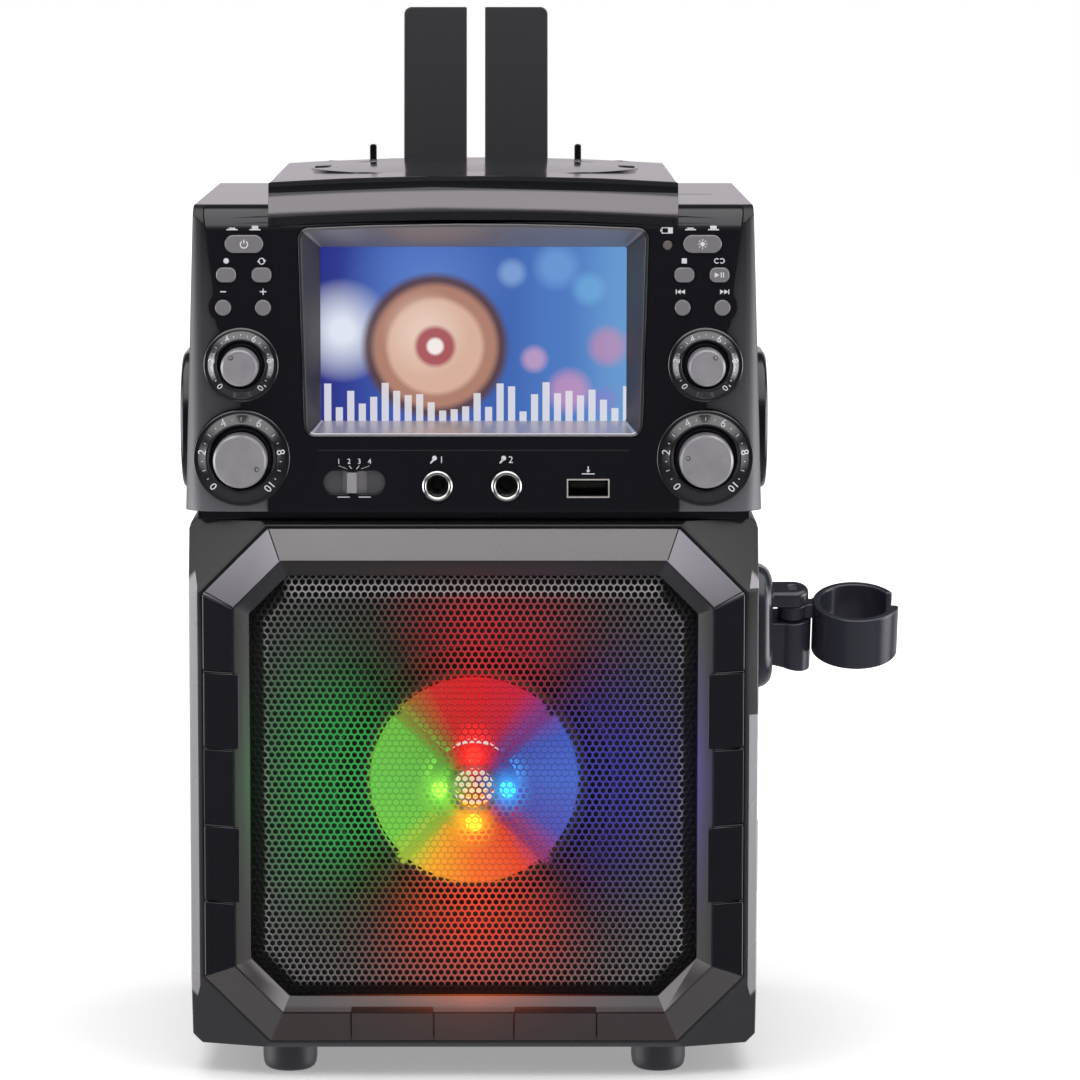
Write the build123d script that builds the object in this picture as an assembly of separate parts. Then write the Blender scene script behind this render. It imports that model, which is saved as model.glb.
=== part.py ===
"""Karaoke machine with a top-loading disc compartment: one STEP file per separate piece.

Millimetres. +X is the listener's right, -Y the front, +Z up. The origin lies on the floor, midway
between the feet. Depths (d) count backwards from the front plane of the cabinet.
"""
from build123d import *
from math import asin, cos, degrees, radians, sin, sqrt, tan
import os

# ---------------------------------------------------------------- driving dimensions: the disc deck
DISC_DIAMETER = 120.0
DISC_CLEARANCE = 1.2           # radial, disc to well wall
WELL_WALL = 1.2
WELL_FLOOR = 2.0
WELL_FRONT_DEPTH = 12.6        # front of the well behind the cabinet's front plane
WELL_DEPTH = 9.5               # floor's upper face to the top of the well wall
PLATEAU_MARGIN = 1.2           # well to the side of the raised plateau
HINGE_SPACE = 8.6              # rear of the well to the back of the head

# ---------------------------------------------------------------- driving dimensions: body
FOOT_HEIGHT = 10.0
FOOT_DIAMETER = 17.4
FOOT_INSET_X = 30.6            # foot centre from the cabinet's side
FOOT_INSET_Y = 18.5
CABINET_WIDTH = 179.2
CABINET_HEIGHT = 168.5
HEAD_OVERHANG = 0.7            # head wider than the cabinet, each side
HEAD_HEIGHT = 95.6             # lower edge to the shoulders
HEAD_TAPER = 3.1               # each side draws in by this much over the head's height
HEAD_SETBACK = 4.0             # back of the head in front of the cabinet's back
NECK_GAP = 3.0
HOOD_RISE = 9.1                # crest of the lid above the shoulders
CROWN_RISE = 2.0               # crest above the plateau's side edges
WALL = 2.5
CHEEK_RADIUS = 9.0
SEAM = 0.1                     # gap at a parting line or round an inset piece
CARD_SLOT = (11.2, 1.6)        # width and opening of the slot in the right shoulder

# ---------------------------------------------------------------- driving dimensions: front frame
FRAME_INSET_X = 4.5            # frame's outer edge from the cabinet's side
FRAME_INSET_LOW = 2.7
FRAME_INSET_HIGH = 2.3
FRAME_CORNER = 20.7            # 45 degree corner cut at the frame's outer edge
BAR_WIDTH = 9.6
BAR_RISE = 4.0                 # ridge in front of the frame's outer edge
LIP_WIDTH = 5.2
LIP_FALL = 3.0
FRAME_SEAT = 5.0               # depth of the recess that holds the frame
BLOCKS = 5                     # armour blocks along a side, every second one raised
BLOCK_RISE = 1.0
BLOCK_OVERLAP = 1.9            # a raised block reaches this far over the inner lip
BLOCK_GROOVE = 0.7
ARMOUR_SKIN = 2.5
GRILLE_BORDER = 6.2
GRILLE_RISE = 4.6
GRILLE_DROP = 1.3              # the flat middle sits lower than the rim's middle
GRILLE_SHEET = 0.8
GRILLE_FLANGE = 2.6
FRONT_DEPTH = 12.0             # depth of the cabinet's front moulding
BEVEL_DEPTH = 2.5              # the moulding reaches full width at this depth
FACET_DEPTH = 9.0              # its corners are full at this depth
FACET_CUT = 23.0
BAFFLE_FACE = 9.0

# ---------------------------------------------------------------- driving dimensions: loudspeaker
SPEAKER_HOLE = 45.0            # radii
SPEAKER_FLANGE = 52.0
SURROUND_RADIUS = 43.5
CONE_RADIUS = 33.1
CONE_MOUTH_DEPTH = 19.0
CONE_THROAT_DEPTH = 37.0
THROAT_RADIUS = 10.0
CONE_PAPER = 0.8
CONE_TRAVEL = 1.5
MAGNET_RADIUS = 35.0
MAGNET_THICKNESS = 14.0
LAMP_CIRCLE = 10.7             # radius on which the four lamps sit
LAMP_RADIUS = 2.5

# ---------------------------------------------------------------- driving dimensions: control panel
PANEL_RISE = 2.0               # panel's face in front of the cabinet's front plane
PANEL_SKIN = 2.5
ROLL_DEPTH = 9.0               # the shoulders roll down over this depth
ROLL_HEIGHT = 8.4
HOOD_FRONT = 3.6
HOOD_HEIGHT = 13.4             # crest to the lower end of the hood's roll
CHEEK_MARGIN = 3.5             # panel's edge from the head's side at the shoulder
SUB_PANEL_RISE = 0.4
SUB_PANEL_HEIGHT = 19.5
SCREEN_WIDTH = 95.0
SCREEN_HEIGHT = 53.9
SCREEN_BASE = 28.3             # screen's lower edge above the head's lower edge
SCREEN_RECESS = 6.0
BEZEL_SIDE = 6.1
BEZEL_BELOW = 4.4
BEZEL_ABOVE = 8.0
LENS_THICKNESS = 1.0
LCD_FRAME = (105.5, 67.2, 4.0)
KNOB_INSET = 18.0              # dial centres from the head's side
DIALS = {                      # height above the head's lower edge, dial ring radius, knob radius
    "echo": (46.2, 11.6, 5.8),
    "balance": (46.2, 11.6, 5.8),
    "mic_volume": (17.1, 15.0, 8.35),
    "master_volume": (17.1, 15.0, 8.35),
}
KNOB_FACE = 13.4               # knob's face in front of the cabinet's front plane
RING_RISE = 2.4
SHAFT_RADIUS = 3.0
SHAFT_CLEARANCE = 0.05
POT_RADIUS = 7.5
BOARD_DEPTH = 10.5             # control board's front face
BOARD_THICKNESS = 1.6
BUTTONS = {                    # side, inset from the head's side, drop below the shoulders, width, height
    "power": (-1, 19.2, 11.7, 11.9, 5.5),
    "record": (-1, 13.6, 21.3, 6.1, 4.6),
    "program": (-1, 24.6, 21.3, 6.1, 4.6),
    "page_down": (-1, 12.6, 31.5, 4.9, 4.9),
    "page_up": (-1, 25.0, 31.5, 4.9, 4.9),
    "lights": (1, 19.2, 11.7, 11.9, 5.5),
    "stop": (1, 24.8, 21.3, 6.1, 4.6),
    "play": (1, 13.9, 21.3, 6.1, 4.6),
    "previous": (1, 25.3, 31.5, 4.9, 4.9),
    "next": (1, 12.9, 31.5, 4.9, 4.9),
}
BUTTON_RISE = 1.3
BUTTON_CLEARANCE = 0.25
BUTTON_TRAVEL = 0.8
LED_PLACE = (30.0, 12.1)       # inset from the head's side, drop below the shoulders
LED_RADIUS = 1.45
JACK_SPACING = 21.6
JACK_HEIGHT = 8.4
JACK_BORE = 3.2
JACK_NUT = 4.8
JACK_BODY = 4.3
JACK_LENGTH = 30.0
USB_PLACE = (35.8, 7.6)
USB_OPENING = (12.5, 5.1)
USB_SHELL = 0.4
SLIDER_PLACE = (-37.2, 9.4)
SLIDER_RECESS = (19.6, 7.6)
SLIDER_TAB = (3.1, 6.4)
SLIDER_STEP = 1.45
SLIDER_POSITIONS = 4

# ---------------------------------------------------------------- driving dimensions: lid and cradle
LID_THICKNESS = 2.2
ROUND_MARGIN = 9.4             # lid's round dish, inside the well's outer wall
ROUND_RISE = 0.8
PIN_RADIUS = 1.2
PIN_CLEARANCE = 0.05
EAR_THICKNESS = 3.0
KNUCKLE_LENGTH = 6.6
KNUCKLE_INSET = 17.1           # from the plateau's side
STOP_INSET = 29.2
STOP_HEIGHT = 5.8
STOP_WIDTH = 2.3
CRADLE_WIDTH = 49.0
CRADLE_SLOT = 6.2
CRADLE_LENGTH = 65.0           # hinge line to the upper edge
CRADLE_THICKNESS = 3.0
CRADLE_LEAN = 10.0
CRADLE_DROP = 4.8              # hinge line below the shoulders
CRADLE_STANDOFF = 4.0          # hinge line behind the head's back

# ---------------------------------------------------------------- driving dimensions: holder, covers, inside
HOLDER_DEPTH = 62.0
HOLDER_INSET = 41.5             # base's middle below the cabinet's top
HOLDER_TILT = 20.0
HOLDER_REACH = 14.0             # pivot, outwards from the cabinet's side
HOLDER_RISE = 5.5               # pivot above the base's middle
HOLDER_PLATE = 7.2
LOWER_ARM_RADIUS = 6.3
LOWER_ARM_DROP = 21.5          # lower arm's end below the pivot
SLOT_HALF = 2.8                 # clevis slot, half of its height
EAR_HEIGHT = 5.0
CLIP_BORE = 11.6
CLIP_WALL = 2.5
CLIP_HEIGHT = 17.8
CLIP_DROP = 6.3                 # ring's middle below the pivot
CLIP_REACH = 20.7
CLIP_OPENING = 38.0
CLIP_PIN = 1.6
COVER_LENGTH = 60.0
COVER_HEIGHT = 44.0
COVER_RISE = 3.4
TURNTABLE_RADIUS = 14.0
CLAMP_RADIUS = 10.0
CLAMP_DROP = 3.4               # clamp's lower face under the lid's underside
HUB_RADIUS = 7.3
MOTOR_RADIUS = 11.0
PICKUP_START = 23.0            # lens from the spindle
PICKUP_MARGIN = 6.2            # lens to the well's wall at the end of its travel
PICKUP_LENGTH = 6.0
LENS_TURRET = 2.6
ROD_RADIUS = 1.5
ROD_SPACING = 32.0
SCREW_RADIUS = 1.5
SCREW_OFFSET = 24.0            # feed screw behind the spindle
REAR_SCREW = 1.4

# ---------------------------------------------------------------- derived places
WELL_INNER = DISC_DIAMETER / 2 + DISC_CLEARANCE
WELL_OUTER = WELL_INNER + WELL_WALL
PLATEAU_HALF = WELL_OUTER + PLATEAU_MARGIN
DISC_DEPTH = WELL_FRONT_DEPTH + WELL_OUTER
ROUND_RADIUS = WELL_OUTER - ROUND_MARGIN
KNUCKLE_PLACE = PLATEAU_HALF - KNUCKLE_INSET
STOP_PLACE = PLATEAU_HALF - STOP_INSET
PICKUP_TRAVEL = WELL_INNER - PICKUP_MARGIN - PICKUP_START
HEAD_DEPTH = DISC_DEPTH + WELL_OUTER + HINGE_SPACE
CABINET_DEPTH = HEAD_DEPTH + HEAD_SETBACK
FRONT_Y = -CABINET_DEPTH / 2
CABINET_HALF = CABINET_WIDTH / 2
CABINET_TOP = FOOT_HEIGHT + CABINET_HEIGHT
HOLDER_HEIGHT = CABINET_TOP - HOLDER_INSET
HEAD_BOTTOM = CABINET_TOP + NECK_GAP
HEAD_HALF = CABINET_HALF + HEAD_OVERHANG
SHOULDER = HEAD_BOTTOM + HEAD_HEIGHT
CREST = SHOULDER + HOOD_RISE
CROWN_RADIUS = (PLATEAU_HALF**2 + CROWN_RISE**2) / (2 * CROWN_RISE)
DISC_Y = FRONT_Y + DISC_DEPTH
WELL_TOP = CREST - LID_THICKNESS - CROWN_RISE - SEAM
WELL_BED = WELL_TOP - WELL_DEPTH
LID_REAR = DISC_DEPTH + WELL_OUTER + 0.6
HINGE_DEPTH = LID_REAR + 2.5
HINGE_Z = CREST - 4.7
FRAME_HALF = CABINET_HALF - FRAME_INSET_X
FRAME_LOW = FOOT_HEIGHT + FRAME_INSET_LOW
FRAME_HIGH = CABINET_TOP - FRAME_INSET_HIGH
SPEAKER_Z = (FRAME_LOW + FRAME_HIGH) / 2 - 1.3
WINDOW_INSET = BAR_WIDTH + LIP_WIDTH
LIP_FACE = -BAR_RISE + LIP_FALL
PANEL_BACK = -PANEL_RISE + PANEL_SKIN
SCREEN_LOW = HEAD_BOTTOM + SCREEN_BASE
SCREEN_MID = SCREEN_LOW + SCREEN_HEIGHT / 2
DECK_SPLIT = SHOULDER - 10.0
HEAD_SPLIT = 60.0
CRADLE_Z = SHOULDER - CRADLE_DROP
CRADLE_HINGE = HEAD_DEPTH + CRADLE_STANDOFF
REAR_COVER_DEPTH = CABINET_DEPTH - WALL
FOOT_X = CABINET_HALF - FOOT_INSET_X
FOOT_Y = CABINET_DEPTH / 2 - FOOT_INSET_Y


# ---------------------------------------------------------------- small helpers
def slab(x0, x1, d0, d1, z0, z1):
    """A box between two corners."""
    centre = ((x0 + x1) / 2, FRONT_Y + (d0 + d1) / 2, (z0 + z1) / 2)
    return Pos(*centre) * Box(x1 - x0, d1 - d0, z1 - z0)


def front_plane(d):
    """Plane parallel to the front, drawn on in (x, z)."""
    return Plane(origin=(0, FRONT_Y + d, 0), x_dir=(1, 0, 0), z_dir=(0, -1, 0))


def prism(sketch, d0, d1):
    """A front-view outline given thickness from depth d0 to d1."""
    return extrude(front_plane(d1) * sketch, amount=d1 - d0, dir=(0, -1, 0))


def side_prism(sketch, x0, x1):
    """A side-view outline, drawn in (depth, z), given width from x0 to x1."""
    plane = Plane(origin=(x0, FRONT_Y, 0), x_dir=(0, 1, 0), z_dir=(1, 0, 0))
    return extrude(plane * sketch, amount=x1 - x0, dir=(1, 0, 0))


def drum(x, z, d0, d1, radius):
    """A round bar that runs front to back."""
    return prism(Pos(x, z) * Circle(radius), d0, d1)


def post(x, y, z0, z1, radius):
    """A round bar that stands upright."""
    return Pos(x, y, (z0 + z1) / 2) * Cylinder(radius, z1 - z0)


def barrel(x0, x1, d, z, radius):
    """A round bar that runs left to right."""
    return side_prism(Pos(d, z) * Circle(radius), x0, x1)


def funnel(sketch_a, d_a, sketch_b, d_b):
    """A solid with straight flanks between two outlines."""
    faces = [(front_plane(d_a) * sketch_a).face(), (front_plane(d_b) * sketch_b).face()]
    return loft(faces, ruled=True)


def joined(shapes):
    """One shape from many."""
    total = shapes[0]
    for shape in shapes[1:]:
        total = total + shape
    return total


def both_sides(make):
    """The same piece on the left and on the right."""
    return [make(-1), make(1)]


# ---------------------------------------------------------------- lower cabinet
def octagon(inset, grow=0.0):
    """The frame's outline, moved inwards by inset."""
    half = FRAME_HALF - inset
    low = FRAME_LOW + inset
    high = FRAME_HIGH - inset
    cut = max(FRAME_CORNER - inset * (2 - sqrt(2)) + grow, 0.5)
    corners = [
        (half, low + cut),
        (half, high - cut),
        (half - cut, high),
        (cut - half, high),
        (-half, high - cut),
        (-half, low + cut),
        (cut - half, low),
        (half - cut, low),
    ]
    return Polygon(*corners, align=None)


def cabinet_outline(margin=0.0, cut=3.0):
    """The cabinet's own outline with small corner cuts."""
    half = CABINET_HALF - margin
    low = FOOT_HEIGHT + margin
    high = CABINET_TOP - margin
    corners = [
        (half, low + cut),
        (half, high - cut),
        (half - cut, high),
        (cut - half, high),
        (-half, high - cut),
        (-half, low + cut),
        (cut - half, low),
        (half - cut, low),
    ]
    return Polygon(*corners, align=None)


def side_blocks():
    """Heights of the armour blocks on a side, lowest first."""
    low = FRAME_LOW + FRAME_CORNER
    high = FRAME_HIGH - FRAME_CORNER
    pitch = (high - low) / BLOCKS
    return [(low + i * pitch, low + (i + 1) * pitch) for i in range(BLOCKS)]


def bottom_blocks():
    """Places of the stepped blocks along the bottom bar."""
    reach = FRAME_HALF - FRAME_CORNER
    pitch = 2 * reach / BLOCKS
    return [(-reach + i * pitch, -reach + (i + 1) * pitch) for i in range(BLOCKS)]


def bar_band(raised=0.0, inner=0.0, sunk=0.0):
    """The sloping outer band of the frame, from its outer edge up to the ridge, filled."""
    outer = octagon(0.3 * raised)
    ridge = octagon(BAR_WIDTH + inner)
    return funnel(outer, sunk - 0.4 * raised, ridge, sunk - BAR_RISE - raised)


def band_layer(thickness):
    """A skin of the given thickness on the band."""
    layer = bar_band() + prism(octagon(0), 0, thickness)
    return layer - bar_band(sunk=thickness) - prism(octagon(BAR_WIDTH), -20, 20)


def raised_pads():
    """A fuller copy of the band, from which the raised blocks are sliced."""
    return bar_band(BLOCK_RISE, BLOCK_OVERLAP) - prism(octagon(BAR_WIDTH + BLOCK_OVERLAP), -20, 20)


def lip_hollow(margin=0.0):
    """The space in front of the frame's inner lip."""
    return funnel(octagon(BAR_WIDTH + 0.4), -BAR_RISE - margin, octagon(WINDOW_INSET), LIP_FACE - margin)


def make_cabinet_shell():
    """Tube of sides, floor and roof, with bosses for the rear cover's screws."""
    half_height = CABINET_HEIGHT / 2
    centre_z = FOOT_HEIGHT + half_height
    outer = Pos(0, centre_z) * RectangleRounded(CABINET_WIDTH, CABINET_HEIGHT, 3.5)
    inner = Pos(0, centre_z) * RectangleRounded(CABINET_WIDTH - 2 * WALL, CABINET_HEIGHT - 2 * WALL, 1.5)
    start = FRONT_DEPTH + SEAM
    shell = prism(outer, start, CABINET_DEPTH) - prism(inner, start - 1, CABINET_DEPTH + 1)
    for side in (-1, 1):
        for low, high in (side_blocks()[1], side_blocks()[3]):
            pad_in = side * (CABINET_HALF - 0.5)
            pad_out = side * (CABINET_HALF + 0.4)
            pad = slab(min(pad_in, pad_out), max(pad_in, pad_out), start, 40.0, low + 0.8, high - 0.8)
            shell = shell + pad
        for z in rear_screw_heights():
            x = side * rear_screw_x()
            boss = drum(x, z, REAR_COVER_DEPTH - 24, REAR_COVER_DEPTH - SEAM, 3.6)
            wall_x = side * (CABINET_HALF - 1.0)
            web = slab(min(x, wall_x), max(x, wall_x), REAR_COVER_DEPTH - 24, REAR_COVER_DEPTH - SEAM, z - 1.2, z + 1.2)
            shell = shell + boss + web
            shell = shell - drum(x, z, REAR_COVER_DEPTH - 12, REAR_COVER_DEPTH, REAR_SCREW + 0.05)
    return shell


def rear_screw_x():
    return CABINET_HALF - WALL - 5.5


def rear_screw_heights():
    return (FOOT_HEIGHT + WALL + 7.5, CABINET_TOP - WALL - 7.5)


def make_cabinet_front():
    """Front moulding: corner facets, a recess for the frame, a rebate for the grille, and the baffle."""
    stages = (
        (octagon(-1.0), 0.8),
        (cabinet_outline(cut=FACET_CUT), BEVEL_DEPTH),
        (cabinet_outline(), FACET_DEPTH),
    )
    body = loft([(front_plane(d) * outline).face() for outline, d in stages], ruled=True)
    body = body + prism(cabinet_outline(), FACET_DEPTH, FRONT_DEPTH)
    body = body - prism(octagon(-SEAM), 0, FRAME_SEAT)
    body = body + prism(octagon(WINDOW_INSET - GRILLE_FLANGE + SEAM), 2.5, FRAME_SEAT + 0.5)
    body = body - prism(octagon(WINDOW_INSET + 0.8), 0, BAFFLE_FACE)
    body = body - drum(0, SPEAKER_Z, 0, FRONT_DEPTH + 1, SPEAKER_HOLE)
    return body


def armour_zone(side, margin=0.0):
    """Front-view outline of the stretch of the frame that an armour strip covers."""
    outer = FRAME_HALF + 3.0
    ridge = FRAME_HALF - BAR_WIDTH
    inner = ridge - BLOCK_OVERLAP - 1.0
    cut_out = FRAME_CORNER
    cut_in = FRAME_CORNER - BAR_WIDTH * (2 - sqrt(2))
    low_out = FRAME_LOW + cut_out + margin
    high_out = FRAME_HIGH - cut_out - margin
    low_in = FRAME_LOW + BAR_WIDTH + cut_in + margin
    high_in = FRAME_HIGH - BAR_WIDTH - cut_in - margin
    slope = (low_in - low_out) / BAR_WIDTH
    low_far = low_out - slope * 3.0
    high_far = high_out + slope * 3.0
    corners = [
        (side * outer, low_far),
        (side * outer, high_far),
        (side * ridge, high_in),
        (side * inner, high_in),
        (side * inner, low_in),
        (side * ridge, low_in),
    ]
    return Polygon(*corners, align=None)


def make_front_frame():
    """Octagonal trim frame: ridge between an outer band and an inner lip, stepped bottom bar."""
    body = bar_band() + prism(octagon(0), 0, FRAME_SEAT)
    pads = raised_pads()
    for low, high in (bottom_blocks()[1], bottom_blocks()[3]):
        body = body + (pads & slab(low, high, -20, 0.4, 0, SPEAKER_Z))
    shallow = band_layer(0.5)
    for low, high in bottom_blocks()[:-1]:
        body = body - (shallow & slab(high - BLOCK_GROOVE / 2, high + BLOCK_GROOVE / 2, -20, 5, 0, SPEAKER_Z))
    hollow = lip_hollow() + prism(octagon(BAR_WIDTH + 0.4), -20, -BAR_RISE)
    for low, high in (bottom_blocks()[1], bottom_blocks()[3]):
        hollow = hollow - (pads & slab(low, high, -20, 0.4, 0, SPEAKER_Z))
    body = body - hollow
    body = body - prism(octagon(WINDOW_INSET), LIP_FACE - 0.5, FRAME_SEAT + 1)
    body = body - prism(octagon(WINDOW_INSET - GRILLE_FLANGE - 0.2), 1.2, FRAME_SEAT + 1)
    layer = band_layer(ARMOUR_SKIN + SEAM)
    for side in (-1, 1):
        body = body - (layer & prism(armour_zone(side), -20, FRAME_SEAT))
    return body


def make_side_armour():
    """Two gloss strips, each five blocks long with the second and the fourth block raised."""
    layer = band_layer(ARMOUR_SKIN)
    lip = prism(octagon(BAR_WIDTH), -BAR_RISE - 0.05, FRAME_SEAT) - lip_hollow(0.05)
    pads = raised_pads() - lip - bar_band(sunk=ARMOUR_SKIN)
    shallow = band_layer(0.5)
    strips = []
    for side in (-1, 1):
        strip = layer & prism(armour_zone(side, SEAM), -20, FRAME_SEAT)
        x0 = min(side * 20, side * (FRAME_HALF + 5))
        x1 = max(side * 20, side * (FRAME_HALF + 5))
        for low, high in side_blocks()[:-1]:
            strip = strip - (shallow & slab(x0, x1, -20, 5, high - BLOCK_GROOVE / 2, high + BLOCK_GROOVE / 2))
        for low, high in (side_blocks()[1], side_blocks()[3]):
            strip = strip + (pads & slab(x0, x1, -20, 0.3, low + BLOCK_GROOVE / 2, high - BLOCK_GROOVE / 2))
        strips.append(strip)
    return strips


def grille_pan(d_shift, spread=0.0):
    """Outer form of the pressed grille: a low pan with a flat middle."""
    rim = octagon(WINDOW_INSET + 0.3 - spread)
    flat = Pos(0, -GRILLE_DROP) * octagon(WINDOW_INSET + GRILLE_BORDER - spread)
    return funnel(rim, 1.3 + d_shift, flat, 1.3 - GRILLE_RISE + d_shift)


def make_speaker_grille():
    """Pressed steel sheet, held by a flat flange behind the frame's inner lip."""
    pan = grille_pan(0) - grille_pan(GRILLE_SHEET)
    flange = prism(octagon(WINDOW_INSET - GRILLE_FLANGE), 1.3, 1.3 + GRILLE_SHEET)
    flange = flange - prism(octagon(WINDOW_INSET + 0.3 + GRILLE_SHEET), 0, 5)
    return pan + flange


def make_rear_cover():
    """Rear cover with vents and holes for the sockets and its screws."""
    inner_w = CABINET_WIDTH - 2 * WALL - 0.4
    inner_h = CABINET_HEIGHT - 2 * WALL - 0.4
    centre_z = FOOT_HEIGHT + CABINET_HEIGHT / 2
    plate = prism(Pos(0, centre_z) * RectangleRounded(inner_w, inner_h, 1.5), REAR_COVER_DEPTH, CABINET_DEPTH)
    for row in range(6):
        z = centre_z + 22 + row * 7
        plate = plate - prism(Pos(0, z) * SlotOverall(70, 2.6), REAR_COVER_DEPTH - 1, CABINET_DEPTH + 1)
    for x, z, radius in rear_socket_places():
        plate = plate - drum(x, z, REAR_COVER_DEPTH - 1, CABINET_DEPTH + 1, radius + 2.2 + SEAM)
    for side in (-1, 1):
        for z in rear_screw_heights():
            plate = plate - drum(side * rear_screw_x(), z, REAR_COVER_DEPTH - 1, CABINET_DEPTH + 1, 1.7)
    return plate


def rear_socket_places():
    """Power in, line in and picture-and-sound out: x, z and bore radius."""
    z = FOOT_HEIGHT + 34
    return ((-40.0, z, 2.8), (-18.0, z, 1.78), (4.0, z, 1.78))


def make_rear_sockets():
    """Three round sockets in the rear cover, each with a flange outside."""
    sockets = []
    for x, z, bore in rear_socket_places():
        body = drum(x, z, REAR_COVER_DEPTH - 12, CABINET_DEPTH, bore + 2.2)
        flange = drum(x, z, CABINET_DEPTH + 0.02, CABINET_DEPTH + 1.0, bore + 3.4)
        neck = drum(x, z, CABINET_DEPTH - 0.5, CABINET_DEPTH + 0.5, bore + 2.2)
        body = body + neck + flange
        sockets.append(body - drum(x, z, REAR_COVER_DEPTH - 10, CABINET_DEPTH + 2, bore))
    return sockets


def main_board_corners():
    centre_z = FOOT_HEIGHT + CABINET_HEIGHT / 2
    return [(x, centre_z + z) for x in (-52, 52) for z in (-28, 12)]


def make_main_board():
    """Amplifier board with four spacers, its heat sink, two capacitors and a coil."""
    centre_z = FOOT_HEIGHT + CABINET_HEIGHT / 2 - 8
    back = REAR_COVER_DEPTH - 14
    board = prism(Pos(0, centre_z) * Rectangle(116, 52), back - 1.6, back)
    parts = [board]
    for x, z in main_board_corners():
        parts.append(drum(x, z, back - 0.5, REAR_COVER_DEPTH, 3.0))
    for i in range(7):
        fin_z = centre_z + 4 + i * 2.6
        parts.append(slab(-44, -16, back - 17.6, back - 1.6, fin_z, fin_z + 1.1))
    parts.append(slab(-44, -16, back - 4.1, back - 1.5, centre_z + 4, centre_z + 20.7))
    parts.append(drum(8, centre_z + 10, back - 18, back - 1.5, 5.0))
    parts.append(drum(22, centre_z + 10, back - 18, back - 1.5, 5.0))
    parts.append(drum(40, centre_z - 6, back - 9, back - 1.5, 7.0) - drum(40, centre_z - 6, back - 10, back - 1.6, 3.0))
    return joined(parts)


def make_battery_pack():
    """Rechargeable pack standing on the cabinet's floor."""
    floor = FOOT_HEIGHT + WALL
    return Pos(0, FRONT_Y + 100, floor + 18.05) * Box(76, 22, 36)


def make_feet():
    """Four round feet, each with a spigot up through the cabinet's floor."""
    feet = []
    for x in (-FOOT_X, FOOT_X):
        for y in (-FOOT_Y, FOOT_Y):
            foot = post(x, y, 0, FOOT_HEIGHT - 0.02, FOOT_DIAMETER / 2)
            foot = fillet(foot.edges().sort_by(Axis.Z)[0], 1.2)
            feet.append(foot)
    return feet


# ---------------------------------------------------------------- loudspeaker and lights
def turned(points, z=SPEAKER_Z):
    """A solid of revolution about the speaker's axis, from (radius, depth) points."""
    plane = Plane(origin=(0, FRONT_Y, z), x_dir=(1, 0, 0), z_dir=(0, 0, 1))
    outline = plane * Polygon(*points, align=None)
    return revolve(outline, axis=Axis((0, FRONT_Y, z), (0, 1, 0)), revolution_arc=360)


def make_speaker_basket():
    """Pressed basket: flange on the baffle's back, four legs, a plate that carries the magnet."""
    back = CONE_THROAT_DEPTH + 8
    outer_lip = SPEAKER_FLANGE
    front = FRONT_DEPTH + 0.05
    points = [
        (SURROUND_RADIUS + 0.3, front),
        (outer_lip, front),
        (outer_lip, front + 1.5),
        (SURROUND_RADIUS + 1.9, front + 1.5),
        (27.5, back - 1.5),
        (27.5, back),
        (THROAT_RADIUS + 2.6, back),
        (THROAT_RADIUS + 2.6, back - 1.5),
        (26, back - 1.5),
        (SURROUND_RADIUS + 0.3, front + 1.5),
    ]
    basket = turned(points)
    for turn in range(4):
        angle = radians(45 + 90 * turn)
        x = 36 * sin(angle)
        z = SPEAKER_Z + 36 * cos(angle)
        window = Pos(x, z) * Rot(0, 0, -degrees(angle)) * RectangleRounded(30, 24, 4)
        basket = basket - prism(window, FRONT_DEPTH + 4, back - 3)
    for turn in range(4):
        angle = radians(45 + 90 * turn)
        x = 48 * sin(angle)
        z = SPEAKER_Z + 48 * cos(angle)
        basket = basket - drum(x, z, 0, FRONT_DEPTH + 5, 1.7)
    return basket


def make_speaker_magnet():
    """Ring magnet between two steel plates, with the pole piece in the middle."""
    front = CONE_THROAT_DEPTH + 8.05
    back = front + MAGNET_THICKNESS
    gap_in = THROAT_RADIUS - 0.9
    gap_out = THROAT_RADIUS + 0.9
    points = [
        (0, front - 2),
        (gap_in, front - 2),
        (gap_in, back - 3),
        (gap_out, back - 3),
        (gap_out, front),
        (MAGNET_RADIUS - 3, front),
        (MAGNET_RADIUS - 3, front + 2.5),
        (MAGNET_RADIUS, front + 2.5),
        (MAGNET_RADIUS, back - 2.5),
        (MAGNET_RADIUS - 3, back - 2.5),
        (MAGNET_RADIUS - 3, back),
        (0, back),
    ]
    return turned(points)


def make_speaker_surround():
    """Half-roll rubber surround, glued to the basket's flange."""
    front = FRONT_DEPTH + 0.1
    points = [
        (CONE_RADIUS + 0.3, CONE_MOUTH_DEPTH + 0.2),
        (CONE_RADIUS + 1.2, CONE_MOUTH_DEPTH - 1.6),
        (CONE_RADIUS + 3.4, CONE_MOUTH_DEPTH - 4.0),
        (SURROUND_RADIUS - 3.2, CONE_MOUTH_DEPTH - 4.6),
        (SURROUND_RADIUS - 1.0, front + 0.4),
        (SURROUND_RADIUS + 0.2, front),
        (SURROUND_RADIUS + 0.2, front + 1.2),
        (SURROUND_RADIUS - 0.4, front + 1.4),
        (SURROUND_RADIUS - 2.6, CONE_MOUTH_DEPTH - 3.6),
        (CONE_RADIUS + 3.8, CONE_MOUTH_DEPTH - 3.0),
        (CONE_RADIUS + 2.0, CONE_MOUTH_DEPTH - 1.0),
        (CONE_RADIUS + 1.4, CONE_MOUTH_DEPTH + 0.2),
    ]
    return turned(points)


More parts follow.
